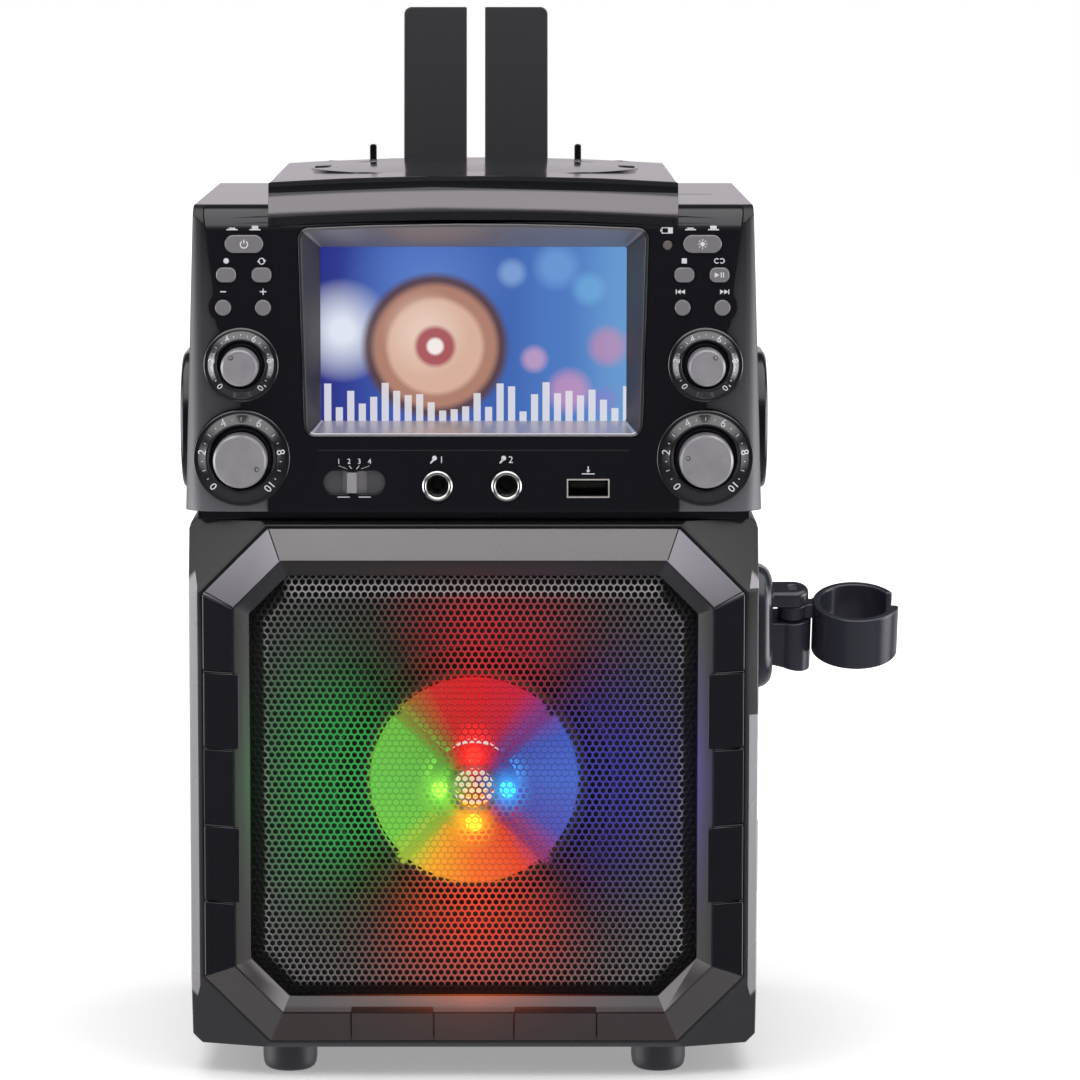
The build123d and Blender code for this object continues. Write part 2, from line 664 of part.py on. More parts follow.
def make_speaker_cone():
    """Cone with its dust cap, and the voice coil on the back of it."""
    cone = turned([
        (THROAT_RADIUS - 1.0, CONE_THROAT_DEPTH),
        (CONE_RADIUS, CONE_MOUTH_DEPTH),
        (CONE_RADIUS, CONE_MOUTH_DEPTH + CONE_PAPER),
        (THROAT_RADIUS + 0.4, CONE_THROAT_DEPTH + CONE_PAPER + 0.4),
        (THROAT_RADIUS + 0.4, CONE_THROAT_DEPTH + 14),
        (THROAT_RADIUS - 0.4, CONE_THROAT_DEPTH + 14),
        (THROAT_RADIUS - 0.4, CONE_THROAT_DEPTH + CONE_PAPER),
        (0, CONE_THROAT_DEPTH - 3.2),
        (0, CONE_THROAT_DEPTH - 4.0),
        (THROAT_RADIUS * 0.6, CONE_THROAT_DEPTH - 2.6),
    ])
    return cone


def lamp_places():
    """The four lamps, above, to the right, below and to the left of the speaker's axis."""
    return [(LAMP_CIRCLE * sin(radians(a)), SPEAKER_Z + LAMP_CIRCLE * cos(radians(a))) for a in (0, 90, 180, 270)]


def make_light_module():
    """Lamp board on a four-armed carrier that stands on the baffle in front of the cone."""
    hub = drum(0, SPEAKER_Z, 3.0, 6.0, LAMP_CIRCLE + 3.4)
    carrier = hub - drum(0, SPEAKER_Z, 2.0, 7.0, LAMP_CIRCLE - 4.2)
    reach = SPEAKER_HOLE + 6.0
    for turn in range(4):
        angle = 45 + 90 * turn
        arm = Pos(0, SPEAKER_Z) * Rot(0, 0, angle) * Pos((reach + LAMP_CIRCLE) / 2, 0) * Rectangle(reach - LAMP_CIRCLE, 3.2)
        carrier = carrier + prism(arm, 4.2, 6.0)
        x = reach * cos(radians(angle))
        z = SPEAKER_Z + reach * sin(radians(angle))
        carrier = carrier + drum(x, z, 4.2, BAFFLE_FACE - 0.02, 3.6)
    return carrier


def make_light_lamps():
    """Four domed lamps on the lamp board."""
    lamps = []
    for x, z in lamp_places():
        body = drum(x, z, 1.0, 2.98, LAMP_RADIUS)
        dome = Pos(x, FRONT_Y + 1.0, z) * Sphere(LAMP_RADIUS)
        dome = dome & slab(x - 3, x + 3, -2, 1.0, z - 3, z + 3)
        lamps.append(body + dome)
    return lamps


# ---------------------------------------------------------------- head: the housings
def head_half(z):
    """Half width of the head at height z."""
    return HEAD_HALF - HEAD_TAPER * (z - HEAD_BOTTOM) / HEAD_HEIGHT


def roll_outline(front, inset, back):
    """Side-view outline of the head: upright front, a roll at the top, a flat roof, a back."""
    top = SHOULDER - inset
    roll_start = SHOULDER - ROLL_HEIGHT
    front_face = front + inset
    roll_end = ROLL_DEPTH
    middle_d = front_face + (roll_end - front_face) * 0.27
    middle_z = roll_start + (top - roll_start) * 0.74
    with BuildSketch() as sketch:
        with BuildLine():
            Line((front_face, HEAD_BOTTOM), (front_face, roll_start))
            ThreePointArc((front_face, roll_start), (middle_d, middle_z), (roll_end, top))
            Polyline((roll_end, top), (back - inset, top), (back - inset, HEAD_BOTTOM), (front_face, HEAD_BOTTOM))
        make_face()
    return sketch.sketch


def plan_outline(inset, back):
    """Plan outline of the head with rounded front corners, drawn in (x, y)."""
    half = HEAD_HALF + 1.0 - inset
    depth = back + 2.0 - inset
    radius = CHEEK_RADIUS + 1.0 - inset
    plan = Pos(0, FRONT_Y + inset + depth / 2) * Rectangle(2 * half, depth)
    corners = plan.vertices().sort_by(Axis.Y)[:2]
    return fillet(corners, radius)


def head_block(inset, front=0.0):
    """The head's outer form, or the same moved inwards by inset."""
    back = HEAD_DEPTH
    side = side_prism(roll_outline(front, inset, back), -HEAD_HALF - 5, HEAD_HALF + 5)
    low = HEAD_BOTTOM - 1
    high = CREST
    taper = Polygon(
        (inset - head_half(low), low),
        (head_half(low) - inset, low),
        (head_half(high) - inset, high),
        (inset - head_half(high), high),
        align=None,
    )
    plan = extrude(Pos(0, 0, low) * plan_outline(inset, back), amount=high - low)
    return side & prism(taper, -10, HEAD_DEPTH + 10) & plan


def head_shell():
    """Open-bottomed shell of the whole head, before it is parted."""
    inner = head_block(WALL) + slab(-HEAD_HALF + 12, HEAD_HALF - 12, 20, 80, HEAD_BOTTOM - 5, HEAD_BOTTOM + 5)
    return head_block(0) - inner


def panel_outline(grow=0.0):
    """Front-view outline of the control panel: a shield with bosses under the dials and outer buttons."""
    shoulder_x = head_half(SHOULDER) - CHEEK_MARGIN
    waist_x = head_half(SHOULDER) - CHEEK_MARGIN - 3.1
    neck_x = HEAD_HALF - KNOB_INSET
    page_z = SHOULDER - BUTTONS["page_down"][2]
    low_dial = HEAD_BOTTOM + DIALS["mic_volume"][0]
    high_dial = HEAD_BOTTOM + DIALS["echo"][0]
    half = [
        (neck_x - 8.2, HEAD_BOTTOM - 1),
        (neck_x - 8.2, HEAD_BOTTOM + 6),
        (neck_x, low_dial),
        (neck_x, high_dial),
        (waist_x - 1.0, high_dial + 12),
        (waist_x - 0.4, page_z + 1),
        (waist_x, page_z + 6),
        (shoulder_x, SHOULDER - 2.5),
        (shoulder_x, SHOULDER + 3),
    ]
    points = half + [(-x, z) for x, z in reversed(half)]
    outline = Polygon(*points, align=None)
    for side in (-1, 1):
        for height, ring, knob in (DIALS["echo"], DIALS["mic_volume"]):
            outline = outline + Pos(side * (HEAD_HALF - KNOB_INSET), HEAD_BOTTOM + height) * Circle(ring)
    for name in ("page_down", "next"):
        x, z = button_place(name)
        outline = outline + Pos(x, z) * Circle(BUTTONS[name][3] / 2 + 2.0)
    if grow:
        outline = offset(outline, amount=grow, kind=Kind.INTERSECTION)
    return outline


def button_place(name):
    """Centre of a button, in (x, z)."""
    side, inset, drop, width, height = BUTTONS[name]
    return side * (HEAD_HALF - inset), SHOULDER - drop


def dial_place(name):
    """Centre of a dial, in (x, z)."""
    side = -1 if name in ("echo", "mic_volume") else 1
    return side * (HEAD_HALF - KNOB_INSET), HEAD_BOTTOM + DIALS[name][0]


def top_cover_zone(gap=0.0):
    """The part of the head that belongs to the top cover."""
    return slab(-HEAD_HALF - 9, HEAD_HALF + 9, ROLL_DEPTH + gap, HEAD_DEPTH + 9, DECK_SPLIT + gap, CREST + 9)


def head_post_places():
    """Places of the head's four screw posts, near its side walls."""
    places = []
    for side in (-1, 1):
        for z in (HEAD_BOTTOM + 12, DECK_SPLIT - 10):
            places.append((side * (head_half(z) - WALL - 4.4), z))
    return places


def make_head_front_housing():
    """Satin cheeks and the front part of the head's sides, with long screw posts."""
    zone = slab(-HEAD_HALF - 9, HEAD_HALF + 9, -5, HEAD_SPLIT, HEAD_BOTTOM - 1, CREST + 9)
    body = (head_shell() & zone) - top_cover_zone()
    body = body - prism(panel_outline(SEAM), -10, WALL + 3)
    keep = prism(panel_outline(SEAM), -10, ROLL_DEPTH + 0.2)
    body = body - (keep & slab(-HEAD_HALF, HEAD_HALF, -5, ROLL_DEPTH + 1, SHOULDER - ROLL_HEIGHT - 2, CREST))
    sill_half = head_half(HEAD_BOTTOM) - 6
    body = body + slab(-sill_half, sill_half, PANEL_BACK + 0.1, PANEL_BACK + 2.6, HEAD_BOTTOM, HEAD_BOTTOM + 2.8)
    for x, z in head_post_places():
        side = 1 if x > 0 else -1
        wall_x = side * (head_half(z) - 1.2)
        start = HEAD_SPLIT - 18
        body = body + drum(x, z, start, HEAD_DEPTH - WALL - 0.1, 3.6)
        body = body + slab(min(x, wall_x), max(x, wall_x), start, HEAD_SPLIT - 2, z - 1.2, z + 1.2)
        body = body - drum(x, z, HEAD_DEPTH - 16, HEAD_DEPTH, REAR_SCREW + 0.05)
    return body


def make_head_rear_housing():
    """Rear part of the head's sides and its back, with vents and screw holes."""
    zone = slab(-HEAD_HALF - 9, HEAD_HALF + 9, HEAD_SPLIT + 2 * SEAM, HEAD_DEPTH + 9, HEAD_BOTTOM - 1, DECK_SPLIT)
    body = head_shell() & zone
    for row in range(5):
        z = HEAD_BOTTOM + 22 + row * 7
        body = body - prism(Pos(0, z) * SlotOverall(60, 2.6), HEAD_DEPTH - 10, HEAD_DEPTH + 5)
    for x, z in head_post_places():
        body = body - drum(x, z, HEAD_DEPTH - 10, HEAD_DEPTH + 5, 1.7)
    return body


def make_head_base():
    """Neck between cabinet and head, and the plate that closes the head from below."""
    neck = slab(-CABINET_HALF + 3, CABINET_HALF - 3, 5, HEAD_DEPTH - 4, CABINET_TOP + 0.02, HEAD_BOTTOM + 0.5)
    plate_half = head_half(HEAD_BOTTOM) - WALL - 0.4
    plate = slab(-plate_half, plate_half, 4, HEAD_DEPTH - WALL - 0.3, HEAD_BOTTOM + 0.2, HEAD_BOTTOM + 2.6)
    plate = fillet(plate.edges().filter_by(Axis.Z).group_by(Axis.Y)[0], CHEEK_RADIUS - 2)
    body = neck + plate
    for x in (-40, 40):
        body = body - (Pos(x, 0, HEAD_BOTTOM) * Cylinder(6, 20))
    return body


# ---------------------------------------------------------------- head: top cover, lid, deck
def crown(top, half, d0, d1, low):
    """A block whose roof is a shallow arch, highest on the centre line."""
    block = slab(-half, half, d0, d1, low, top + 1)
    axis_z = top - CROWN_RADIUS
    arch = drum(0, axis_z, d0 - 1, d1 + 1, CROWN_RADIUS)
    return block & arch


def crown_drop(x):
    """How far the arch has fallen at distance x from the centre line."""
    return CROWN_RADIUS - sqrt(CROWN_RADIUS**2 - x * x)


def knuckle_sides():
    """The two lid hinges: x of the knuckle's inner and outer end."""
    inner = KNUCKLE_PLACE - KNUCKLE_LENGTH / 2
    outer = KNUCKLE_PLACE + KNUCKLE_LENGTH / 2
    return ((-outer, -inner), (inner, outer))


def make_top_cover():
    """Shoulders, raised plateau round the disc well, hinge ears for the lid and the cradle."""
    shell = head_shell() & top_cover_zone(SEAM)
    plateau_top = CREST - LID_THICKNESS - SEAM
    cover = shell + crown(plateau_top, PLATEAU_HALF, HOOD_FRONT + SEAM, LID_REAR, SHOULDER - WALL)
    cover = cover - post(0, DISC_Y, DECK_SPLIT - 20, CREST + 5, WELL_OUTER + SEAM)
    slot_w, slot_h = CARD_SLOT
    slot_x = PLATEAU_HALF + 2.0 + slot_w / 2
    cover = cover - slab(slot_x - slot_w / 2, slot_x + slot_w / 2, 70, 70 + slot_h, SHOULDER - 9, SHOULDER + 2)
    for x0, x1 in knuckle_sides():
        for near, far in ((x0 - 0.3 - EAR_THICKNESS, x0 - 0.3), (x1 + 0.3, x1 + 0.3 + EAR_THICKNESS)):
            ear = slab(near, far, HINGE_DEPTH - 2.2, HINGE_DEPTH + 2.2, SHOULDER - 1, HINGE_Z)
            cover = cover + ear + barrel(near, far, HINGE_DEPTH, HINGE_Z, 2.2)
        cover = cover - barrel(x0 - 9, x1 + 9, HINGE_DEPTH, HINGE_Z, PIN_RADIUS + PIN_CLEARANCE)
    half = CRADLE_WIDTH / 2 + 0.4
    for near, far in ((-half - EAR_THICKNESS, -half), (half, half + EAR_THICKNESS)):
        ear = slab(near, far, HEAD_DEPTH - 0.5, CRADLE_HINGE, CRADLE_Z - 2.6, CRADLE_Z + 2.6)
        cover = cover + ear + barrel(near, far, CRADLE_HINGE, CRADLE_Z, 2.6)
    cradle_bore = barrel(-half - 9, half + 9, CRADLE_HINGE, CRADLE_Z, 1.5 + PIN_CLEARANCE)
    return cover - cradle_bore


def tablet_stops():
    """Two upright pegs near the lid's rear edge that keep a tablet from sliding forward."""
    stops = []
    depth = LID_REAR - 10
    for side in (-1, 1):
        base = CREST - crown_drop(STOP_PLACE) - 0.4
        middle = side * STOP_PLACE
        peg = slab(middle - STOP_WIDTH / 2, middle + STOP_WIDTH / 2, depth, depth + 3.2, base, base + STOP_HEIGHT)
        stops.append(fillet(peg.edges().filter_by(Axis.Y).group_by(Axis.Z)[-1], STOP_WIDTH * 0.42))
    return stops


def make_disc_lid():
    """Crowned lid: round dish, finger scoops, pegs, two knuckles with through pins, a seat for the clamp."""
    bottom = CREST - LID_THICKNESS
    d0 = HOOD_FRONT + 0.4
    sheet = crown(CREST, PLATEAU_HALF - 0.3, d0, LID_REAR, bottom - 6)
    under = drum(0, bottom - CROWN_RADIUS, -5, LID_REAR + 5, CROWN_RADIUS)
    sheet = sheet - under
    dish = post(0, DISC_Y, bottom + 0.4, CREST + ROUND_RISE + 4, ROUND_RADIUS)
    dish_radius = (ROUND_RADIUS**2 + ROUND_RISE**2) / (2 * ROUND_RISE) * 0.62
    dome = Pos(0, DISC_Y, CREST + ROUND_RISE - dish_radius) * Sphere(dish_radius)
    sheet = sheet + (dish & dome)
    for side in (-1, 1):
        scoop = Pos(side * (ROUND_RADIUS - 1.5), DISC_Y, CREST + 6.8) * Rot(90, 0, 0) * Cylinder(8.5, 16)
        sheet = sheet - (scoop & slab(-PLATEAU_HALF, PLATEAU_HALF, 0, LID_REAR, CREST - 1.9, CREST + 9))
    sheet = sheet + post(0, DISC_Y, bottom - 2.6, bottom + 0.3, CLAMP_RADIUS + 5.0)
    sheet = sheet - post(0, DISC_Y, bottom - 1.6, bottom - 0.2, CLAMP_RADIUS + 2.8)
    sheet = sheet - post(0, DISC_Y, bottom - 5, bottom - 0.2, CLAMP_RADIUS + 0.4)
    for x0, x1 in knuckle_sides():
        drop = crown_drop(KNUCKLE_PLACE)
        arm = slab(x0, x1, LID_REAR - 3, HINGE_DEPTH, bottom - drop + 0.15, CREST - drop - 0.35)
        knuckle = barrel(x0, x1, HINGE_DEPTH, HINGE_Z, 2.2)
        pin = barrel(x0 - EAR_THICKNESS - 0.2, x1 + EAR_THICKNESS + 0.2, HINGE_DEPTH, HINGE_Z, PIN_RADIUS)
        sheet = sheet + arm + knuckle + pin
    for stop in tablet_stops():
        sheet = sheet + stop
    return sheet


def make_disc_clamp():
    """Round magnetic clamp that hangs by its flange in the lid's seat and presses on the disc."""
    bottom = CREST - LID_THICKNESS
    clamp = post(0, DISC_Y, bottom - CLAMP_DROP, bottom - 0.7, CLAMP_RADIUS)
    return clamp + post(0, DISC_Y, bottom - 1.57, bottom - 0.7, CLAMP_RADIUS + 2.4)


def make_disc_well():
    """Round well under the lid with an opening for the turntable and the pickup."""
    wall = post(0, DISC_Y, WELL_BED - WELL_FLOOR, WELL_TOP, WELL_OUTER)
    well = wall - post(0, DISC_Y, WELL_BED, WELL_TOP + 1, WELL_INNER)
    well = well - post(0, DISC_Y, WELL_BED - 9, WELL_BED + 1, TURNTABLE_RADIUS + 2.0)
    lens_end = PICKUP_START + PICKUP_TRAVEL + LENS_TURRET
    window = Pos(0, DISC_Y, WELL_BED) * slab_at(8, lens_end + 0.5, 15)
    well = well - window
    for x in (-26, sled_range()[1] - 1):
        for y in (-26, 26):
            well = well + post(x, DISC_Y + y, WELL_BED - 6.0, WELL_BED - WELL_FLOOR + 0.5, 2.6)
    return well


def slab_at(x0, x1, half):
    """A tall cutting box, x0 to x1 long and 2 x half wide, about its own origin."""
    return Pos((x0 + x1) / 2, 0, 0) * Box(x1 - x0, 2 * half, 12)


def sled_range():
    """Where the sled's near and far faces stop, from the spindle."""
    near = PICKUP_START - PICKUP_LENGTH / 2
    return near, near + PICKUP_LENGTH + PICKUP_TRAVEL


def rod_height():
    return WELL_BED - 6.02 - 4.2


def make_deck_plate():
    """Steel sub-chassis under the well that carries the motors and the guide rods."""
    top = WELL_BED - 6.02
    near, far = sled_range()
    plate = Pos((far + 4 - 31) / 2, DISC_Y, top - 0.6) * Box(far + 35, 62, 1.2)
    plate = plate - (Pos(0, DISC_Y, top) * slab_at(near - 2, far + 2.5, 13.4))
    plate = plate - post(0, DISC_Y, top - 9, top + 9, 3.4)
    for x in (near - 6, far + 1.4):
        for y in (-ROD_SPACING / 2, ROD_SPACING / 2):
            lug = Pos(x, DISC_Y + y, top - 3.6) * Box(2.4, 5.0, 5.6)
            plate = plate + lug
            plate = plate - (Pos(x, DISC_Y + y, top - 4.2) * Rot(0, 90, 0) * Cylinder(ROD_RADIUS + 0.03, 6))
    lug = Pos(far + 3.0, DISC_Y + SCREW_OFFSET, top - 3.6) * Box(1.6, 6, 5.6)
    plate = plate + lug
    return plate - (Pos(far + 3.0, DISC_Y + SCREW_OFFSET, top - 4.2) * Rot(0, 90, 0) * Cylinder(SCREW_RADIUS + 0.05, 6))


def make_guide_rods():
    """Two polished rods on which the pickup slides."""
    z = rod_height()
    near, far = sled_range()
    x0 = near - 7.2
    x1 = far + 2.6
    rods = []
    for y in (-ROD_SPACING / 2, ROD_SPACING / 2):
        rods.append(Pos((x0 + x1) / 2, DISC_Y + y, z) * Rot(0, 90, 0) * Cylinder(ROD_RADIUS, x1 - x0))
    return rods


def make_optical_pickup():
    """Pickup sled on its two rods, with the lens turret in the window of the well."""
    z = rod_height()
    centre = PICKUP_START
    body = Pos(centre, DISC_Y, z - 0.4) * Box(PICKUP_LENGTH, ROD_SPACING + 6, 4.6)
    body = body + (Pos(centre, DISC_Y, z + 2.4) * Box(PICKUP_LENGTH, 22, 7.0))
    body = body + post(centre, DISC_Y, z + 5.0, WELL_BED + 1.6, LENS_TURRET)
    for y in (-ROD_SPACING / 2, ROD_SPACING / 2):
        body = body - (Pos(centre, DISC_Y + y, z) * Rot(0, 90, 0) * Cylinder(ROD_RADIUS + 0.06, 20))
    body = body + (Pos(centre, DISC_Y + SCREW_OFFSET - 3.0, z - 0.4) * Box(5.0, 5.4, 4.6))
    return body - (Pos(centre, DISC_Y + SCREW_OFFSET, z) * Rot(0, 90, 0) * Cylinder(SCREW_RADIUS + 0.4, 20))


def make_feed_screw():
    """Long feed screw that drives the pickup along its rods."""
    near, far = sled_range()
    x0 = near - 10.8
    x1 = far + 3.8
    screw = Pos((x0 + x1) / 2, DISC_Y + SCREW_OFFSET, rod_height()) * Rot(0, 90, 0)
    return screw * Cylinder(SCREW_RADIUS, x1 - x0)


def make_deck_motors():
    """Spindle motor under the turntable and feed motor at the end of the screw."""
    z = rod_height()
    near, far = sled_range()
    top = WELL_BED - 6.02 - 1.22
    spindle = post(0, DISC_Y, top - 9, top, MOTOR_RADIUS) - post(0, DISC_Y, top - 8, top + 1, 1.0 + 0.04)
    end = near - 9.2
    feed = Pos(end - 6.0, DISC_Y + SCREW_OFFSET, z) * Rot(0, 90, 0) * Cylinder(2.95, 12.0)
    bore = Pos(end, DISC_Y + SCREW_OFFSET, z) * Rot(0, 90, 0) * Cylinder(SCREW_RADIUS + 0.05, 4.4)
    return [spindle, feed - bore]


def make_turntable():
    """Disc turntable with its centring cone, on the spindle shaft."""
    seat = CREST - LID_THICKNESS - CLAMP_DROP - 3.9
    table = post(0, DISC_Y, WELL_BED - 2.0, seat, TURNTABLE_RADIUS)
    table = table + post(0, DISC_Y, seat, seat + 2.0, HUB_RADIUS)
    table = table + (Pos(0, DISC_Y, seat + 2.8) * Cone(HUB_RADIUS, HUB_RADIUS - 2.2, 1.6))
    return table + post(0, DISC_Y, WELL_BED - 14.0, WELL_BED, 1.0)


# ---------------------------------------------------------------- head: control panel
def hood_section(filled):
    """Side-view section of the hood's roll, as a skin or filled."""
    low = CREST - HOOD_HEIGHT
    outer = [
        (HOOD_FRONT, CREST),
        (0.9, CREST - 0.4),
        (0.0, CREST - 1.2),
        (-0.4, CREST - 3.2),
        (-2.9, CREST - 8.4),
        (-3.4, CREST - 10.2),
        (-PANEL_RISE, low),
    ]
    if filled:
        inner = [(HOOD_FRONT, low)]
    else:
        inner = [
            (-PANEL_RISE + 2.4, low),
            (-1.0, CREST - 10.2),
            (-0.6, CREST - 8.4),
            (1.5, CREST - 4.0),
            (1.9, CREST - 2.6),
            (HOOD_FRONT, CREST - 2.4),
        ]
    return Polygon(*(outer + inner), align=None)


def hood():
    """The rolled hood that fronts the lid, arched like it."""
    plane = Plane(origin=(0, FRONT_Y, 0), x_dir=(0, 1, 0), z_dir=(1, 0, 0))
    axis = Axis((0, 0, CREST - CROWN_RADIUS), (0, 1, 0))
    reach = degrees(asin((PLATEAU_HALF + 2) / (CROWN_RADIUS - HOOD_HEIGHT)))
    section = (plane * hood_section(False)).face().rotate(axis, -reach)
    skin = revolve(section, axis=axis, revolution_arc=2 * reach)
    skin = skin & slab(-PLATEAU_HALF, PLATEAU_HALF, -20, 20, SHOULDER - 20, CREST + 5)
    filled = hood_section(True)
    ends = []
    for x0, x1 in ((-PLATEAU_HALF, -PLATEAU_HALF + 1.6), (PLATEAU_HALF - 1.6, PLATEAU_HALF)):
        ends.append(Pos(0, 0, -CROWN_RISE) * side_prism(filled, x0, x1))
    return skin + ends[0] + ends[1]


def bezel_outline(inset=0.0):
    """Outline of the screen's bezel: a little wider above, with an arched upper edge."""
    low = SCREEN_LOW - BEZEL_BELOW + inset
    high = SCREEN_LOW + SCREEN_HEIGHT + BEZEL_ABOVE - inset
    half_low = SCREEN_WIDTH / 2 + BEZEL_SIDE - 0.9 - inset
    half_high = SCREEN_WIDTH / 2 + BEZEL_SIDE + 0.9 - inset
    shoulder = high - 1.5
    with BuildSketch() as sketch:
        with BuildLine():
            Line((-half_low, low), (half_low, low))
            Line((half_low, low), (half_high, shoulder))
            ThreePointArc((half_high, shoulder), (0, high), (-half_high, shoulder))
            Line((-half_high, shoulder), (-half_low, low))
        make_face()
    rounded = sketch.sketch
    return fillet(rounded.vertices(), 3.6 - inset)


def make_screen_bezel():
    """Sunken surround of the screen with four sloping flanks."""
    body = prism(bezel_outline(), -PANEL_RISE - 0.7, SCREEN_RECESS)
    opening = Pos(0, SCREEN_MID) * RectangleRounded(SCREEN_WIDTH + 0.6, SCREEN_HEIGHT + 0.6, 0.8)
    body = body - funnel(bezel_outline(0.9), -PANEL_RISE - 0.7, opening, SCREEN_RECESS - 0.6)
    return body - prism(opening, SCREEN_RECESS - 0.7, SCREEN_RECESS + 1)


def make_screen_lens():
    """Clear window over the display."""
    sheet = Pos(0, SCREEN_MID) * RectangleRounded(SCREEN_WIDTH + 4, SCREEN_HEIGHT + 4, 1)
    return prism(sheet, SCREEN_RECESS + 0.05, SCREEN_RECESS + 0.05 + LENS_THICKNESS)


def make_lcd_module():
    """Display in its metal frame."""
    width, height, thick = LCD_FRAME
    front = SCREEN_RECESS + LENS_THICKNESS + 0.15
    return prism(Pos(0, SCREEN_MID) * Rectangle(width, height), front, front + thick)


def sub_panel_outline(inset=0.0):
    """Raised trapezoid under the screen that holds the sockets and the function slider."""
    high = HEAD_BOTTOM + SUB_PANEL_HEIGHT - inset
    low = HEAD_BOTTOM + 0.6 + inset
    return Polygon((-48.6 + inset, high), (48.6 - inset, high), (55.6 - inset, low), (-55.6 + inset, low), align=None)


def button_sketch(name, grow=0.0):
    """Outline of a button's cap."""
    side, inset, drop, width, height = BUTTONS[name]
    x, z = button_place(name)
    w = width + 2 * grow
    h = height + 2 * grow
    if width == height:
        shape = Circle(w / 2)
    elif width > 2 * height:
        shape = SlotOverall(w, h)
    else:
        shape = RectangleRounded(w, h, h * 0.42)
    return Pos(x, z) * shape


def make_control_panel():
    """Gloss panel with the hood, holes for every control, and the raised socket strip."""
    skin_outer = side_prism(roll_outline(-PANEL_RISE, 0, ROLL_DEPTH + 1), -HEAD_HALF, HEAD_HALF)
    skin_inner = side_prism(roll_outline(-PANEL_RISE, PANEL_SKIN, ROLL_DEPTH + 9), -HEAD_HALF, HEAD_HALF)
    block = skin_outer - skin_inner - slab(-HEAD_HALF, HEAD_HALF, ROLL_DEPTH, ROLL_DEPTH + 12, 0, CREST)
    plate = block & prism(panel_outline(), -10, ROLL_DEPTH)
    clear_half = PLATEAU_HALF - 1.2
    clear = crown(CREST - HOOD_HEIGHT + CROWN_RISE + 12, clear_half, -10, 20, CREST - HOOD_HEIGHT - CROWN_RISE + 1.4)
    behind = slab(-PLATEAU_HALF - SEAM, PLATEAU_HALF + SEAM, HOOD_FRONT, 20, SHOULDER - WALL - 1.5, CREST)
    plate = plate - clear - behind
    panel = plate + hood()
    panel = panel + prism(sub_panel_outline(), -PANEL_RISE - SUB_PANEL_RISE, -PANEL_RISE + 0.5)
    panel = panel - prism(bezel_outline(-SEAM), -10, 10)
    for name in BUTTONS:
        panel = panel - prism(button_sketch(name, BUTTON_CLEARANCE), -10, 3)
    for name in DIALS:
        x, z = dial_place(name)
        panel = panel - drum(x, z, -10, 3, SHAFT_RADIUS + 0.8)
    led_x = HEAD_HALF - LED_PLACE[0]
    panel = panel - drum(led_x, SHOULDER - LED_PLACE[1], -10, 3, LED_RADIUS + SEAM)
    for x in jack_places():
        panel = panel - drum(x, HEAD_BOTTOM + JACK_HEIGHT, -10, 3, JACK_BODY + SEAM)
    usb = Pos(USB_PLACE[0], HEAD_BOTTOM + USB_PLACE[1]) * Rectangle(usb_outer()[0] + 0.2, usb_outer()[1] + 0.2)
    panel = panel - prism(usb, -10, 3)
    x, z = SLIDER_PLACE[0], HEAD_BOTTOM + SLIDER_PLACE[1]
    panel = panel - prism(Pos(x, z) * SlotOverall(*SLIDER_RECESS), -10, -PANEL_RISE + 0.9)
    travel = SLIDER_STEP * (SLIDER_POSITIONS - 1)
    slot = Pos(x, z) * Rectangle(SLIDER_TAB[0] + travel + 0.6, SLIDER_TAB[1] + 0.3)
    return panel - prism(slot, -10, 3)


def jack_places():
    return (-0.45 - JACK_SPACING / 2, -0.45 + JACK_SPACING / 2)


def usb_outer():
    return USB_OPENING[0] + 2 * USB_SHELL, USB_OPENING[1] + 2 * USB_SHELL


def make_dial_rings():
    """Four raised rings round the knobs, each with a rounded crest."""
    rings = []
    for name, (height, ring, knob) in DIALS.items():
        x, z = dial_place(name)
        inner = knob + 1.1
        base = -PANEL_RISE - 0.02
        crest = base - RING_RISE
        plane = Plane(origin=(x, FRONT_Y, z), x_dir=(1, 0, 0), z_dir=(0, 0, 1))
        section = Polygon(
            (inner, base), (ring, base), (ring, crest + 1.1), (ring - 0.5, crest + 0.3), (ring - 1.3, crest),
            (ring - 2.0, crest + 0.15), (inner + 0.6, crest + 1.3), (inner, crest + 1.6), align=None)
        rings.append(revolve(plane * section, axis=Axis((x, FRONT_Y, z), (0, 1, 0)), revolution_arc=360))
    return rings


def make_knob(name):
    """Knob cap with a dimple in its face, and its shaft."""
    x, z = dial_place(name)
    radius = DIALS[name][2]
    face = -KNOB_FACE
    skirt = -PANEL_RISE - 0.8
    cap = drum(x, z, face, skirt, radius)
    front_edge = cap.edges().filter_by(GeomType.CIRCLE).sort_by(Axis.Y)[0]
    cap = fillet(front_edge, 0.8)
    cap = cap - drum(x, z, face + 2.0, skirt + 1, radius - 1.4)
    cap = cap + drum(x, z, face + 1.5, skirt, SHAFT_RADIUS + 1.6)
    cap = cap - drum(x, z, face + 2.6, skirt + 1, SHAFT_RADIUS + 0.02)
    angle = {"echo": 130.0, "balance": 50.0, "mic_volume": -25.0, "master_volume": 170.0}[name]
    reach = radius * 0.72
    dimple = Pos(x + reach * cos(radians(angle)), FRONT_Y + face - 0.5, z + reach * sin(radians(angle)))
    cap = cap - dimple * Sphere(1.1)
    shaft = drum(x, z, face + 2.7, BOARD_DEPTH - 2.0, SHAFT_RADIUS)
    return [cap, shaft]


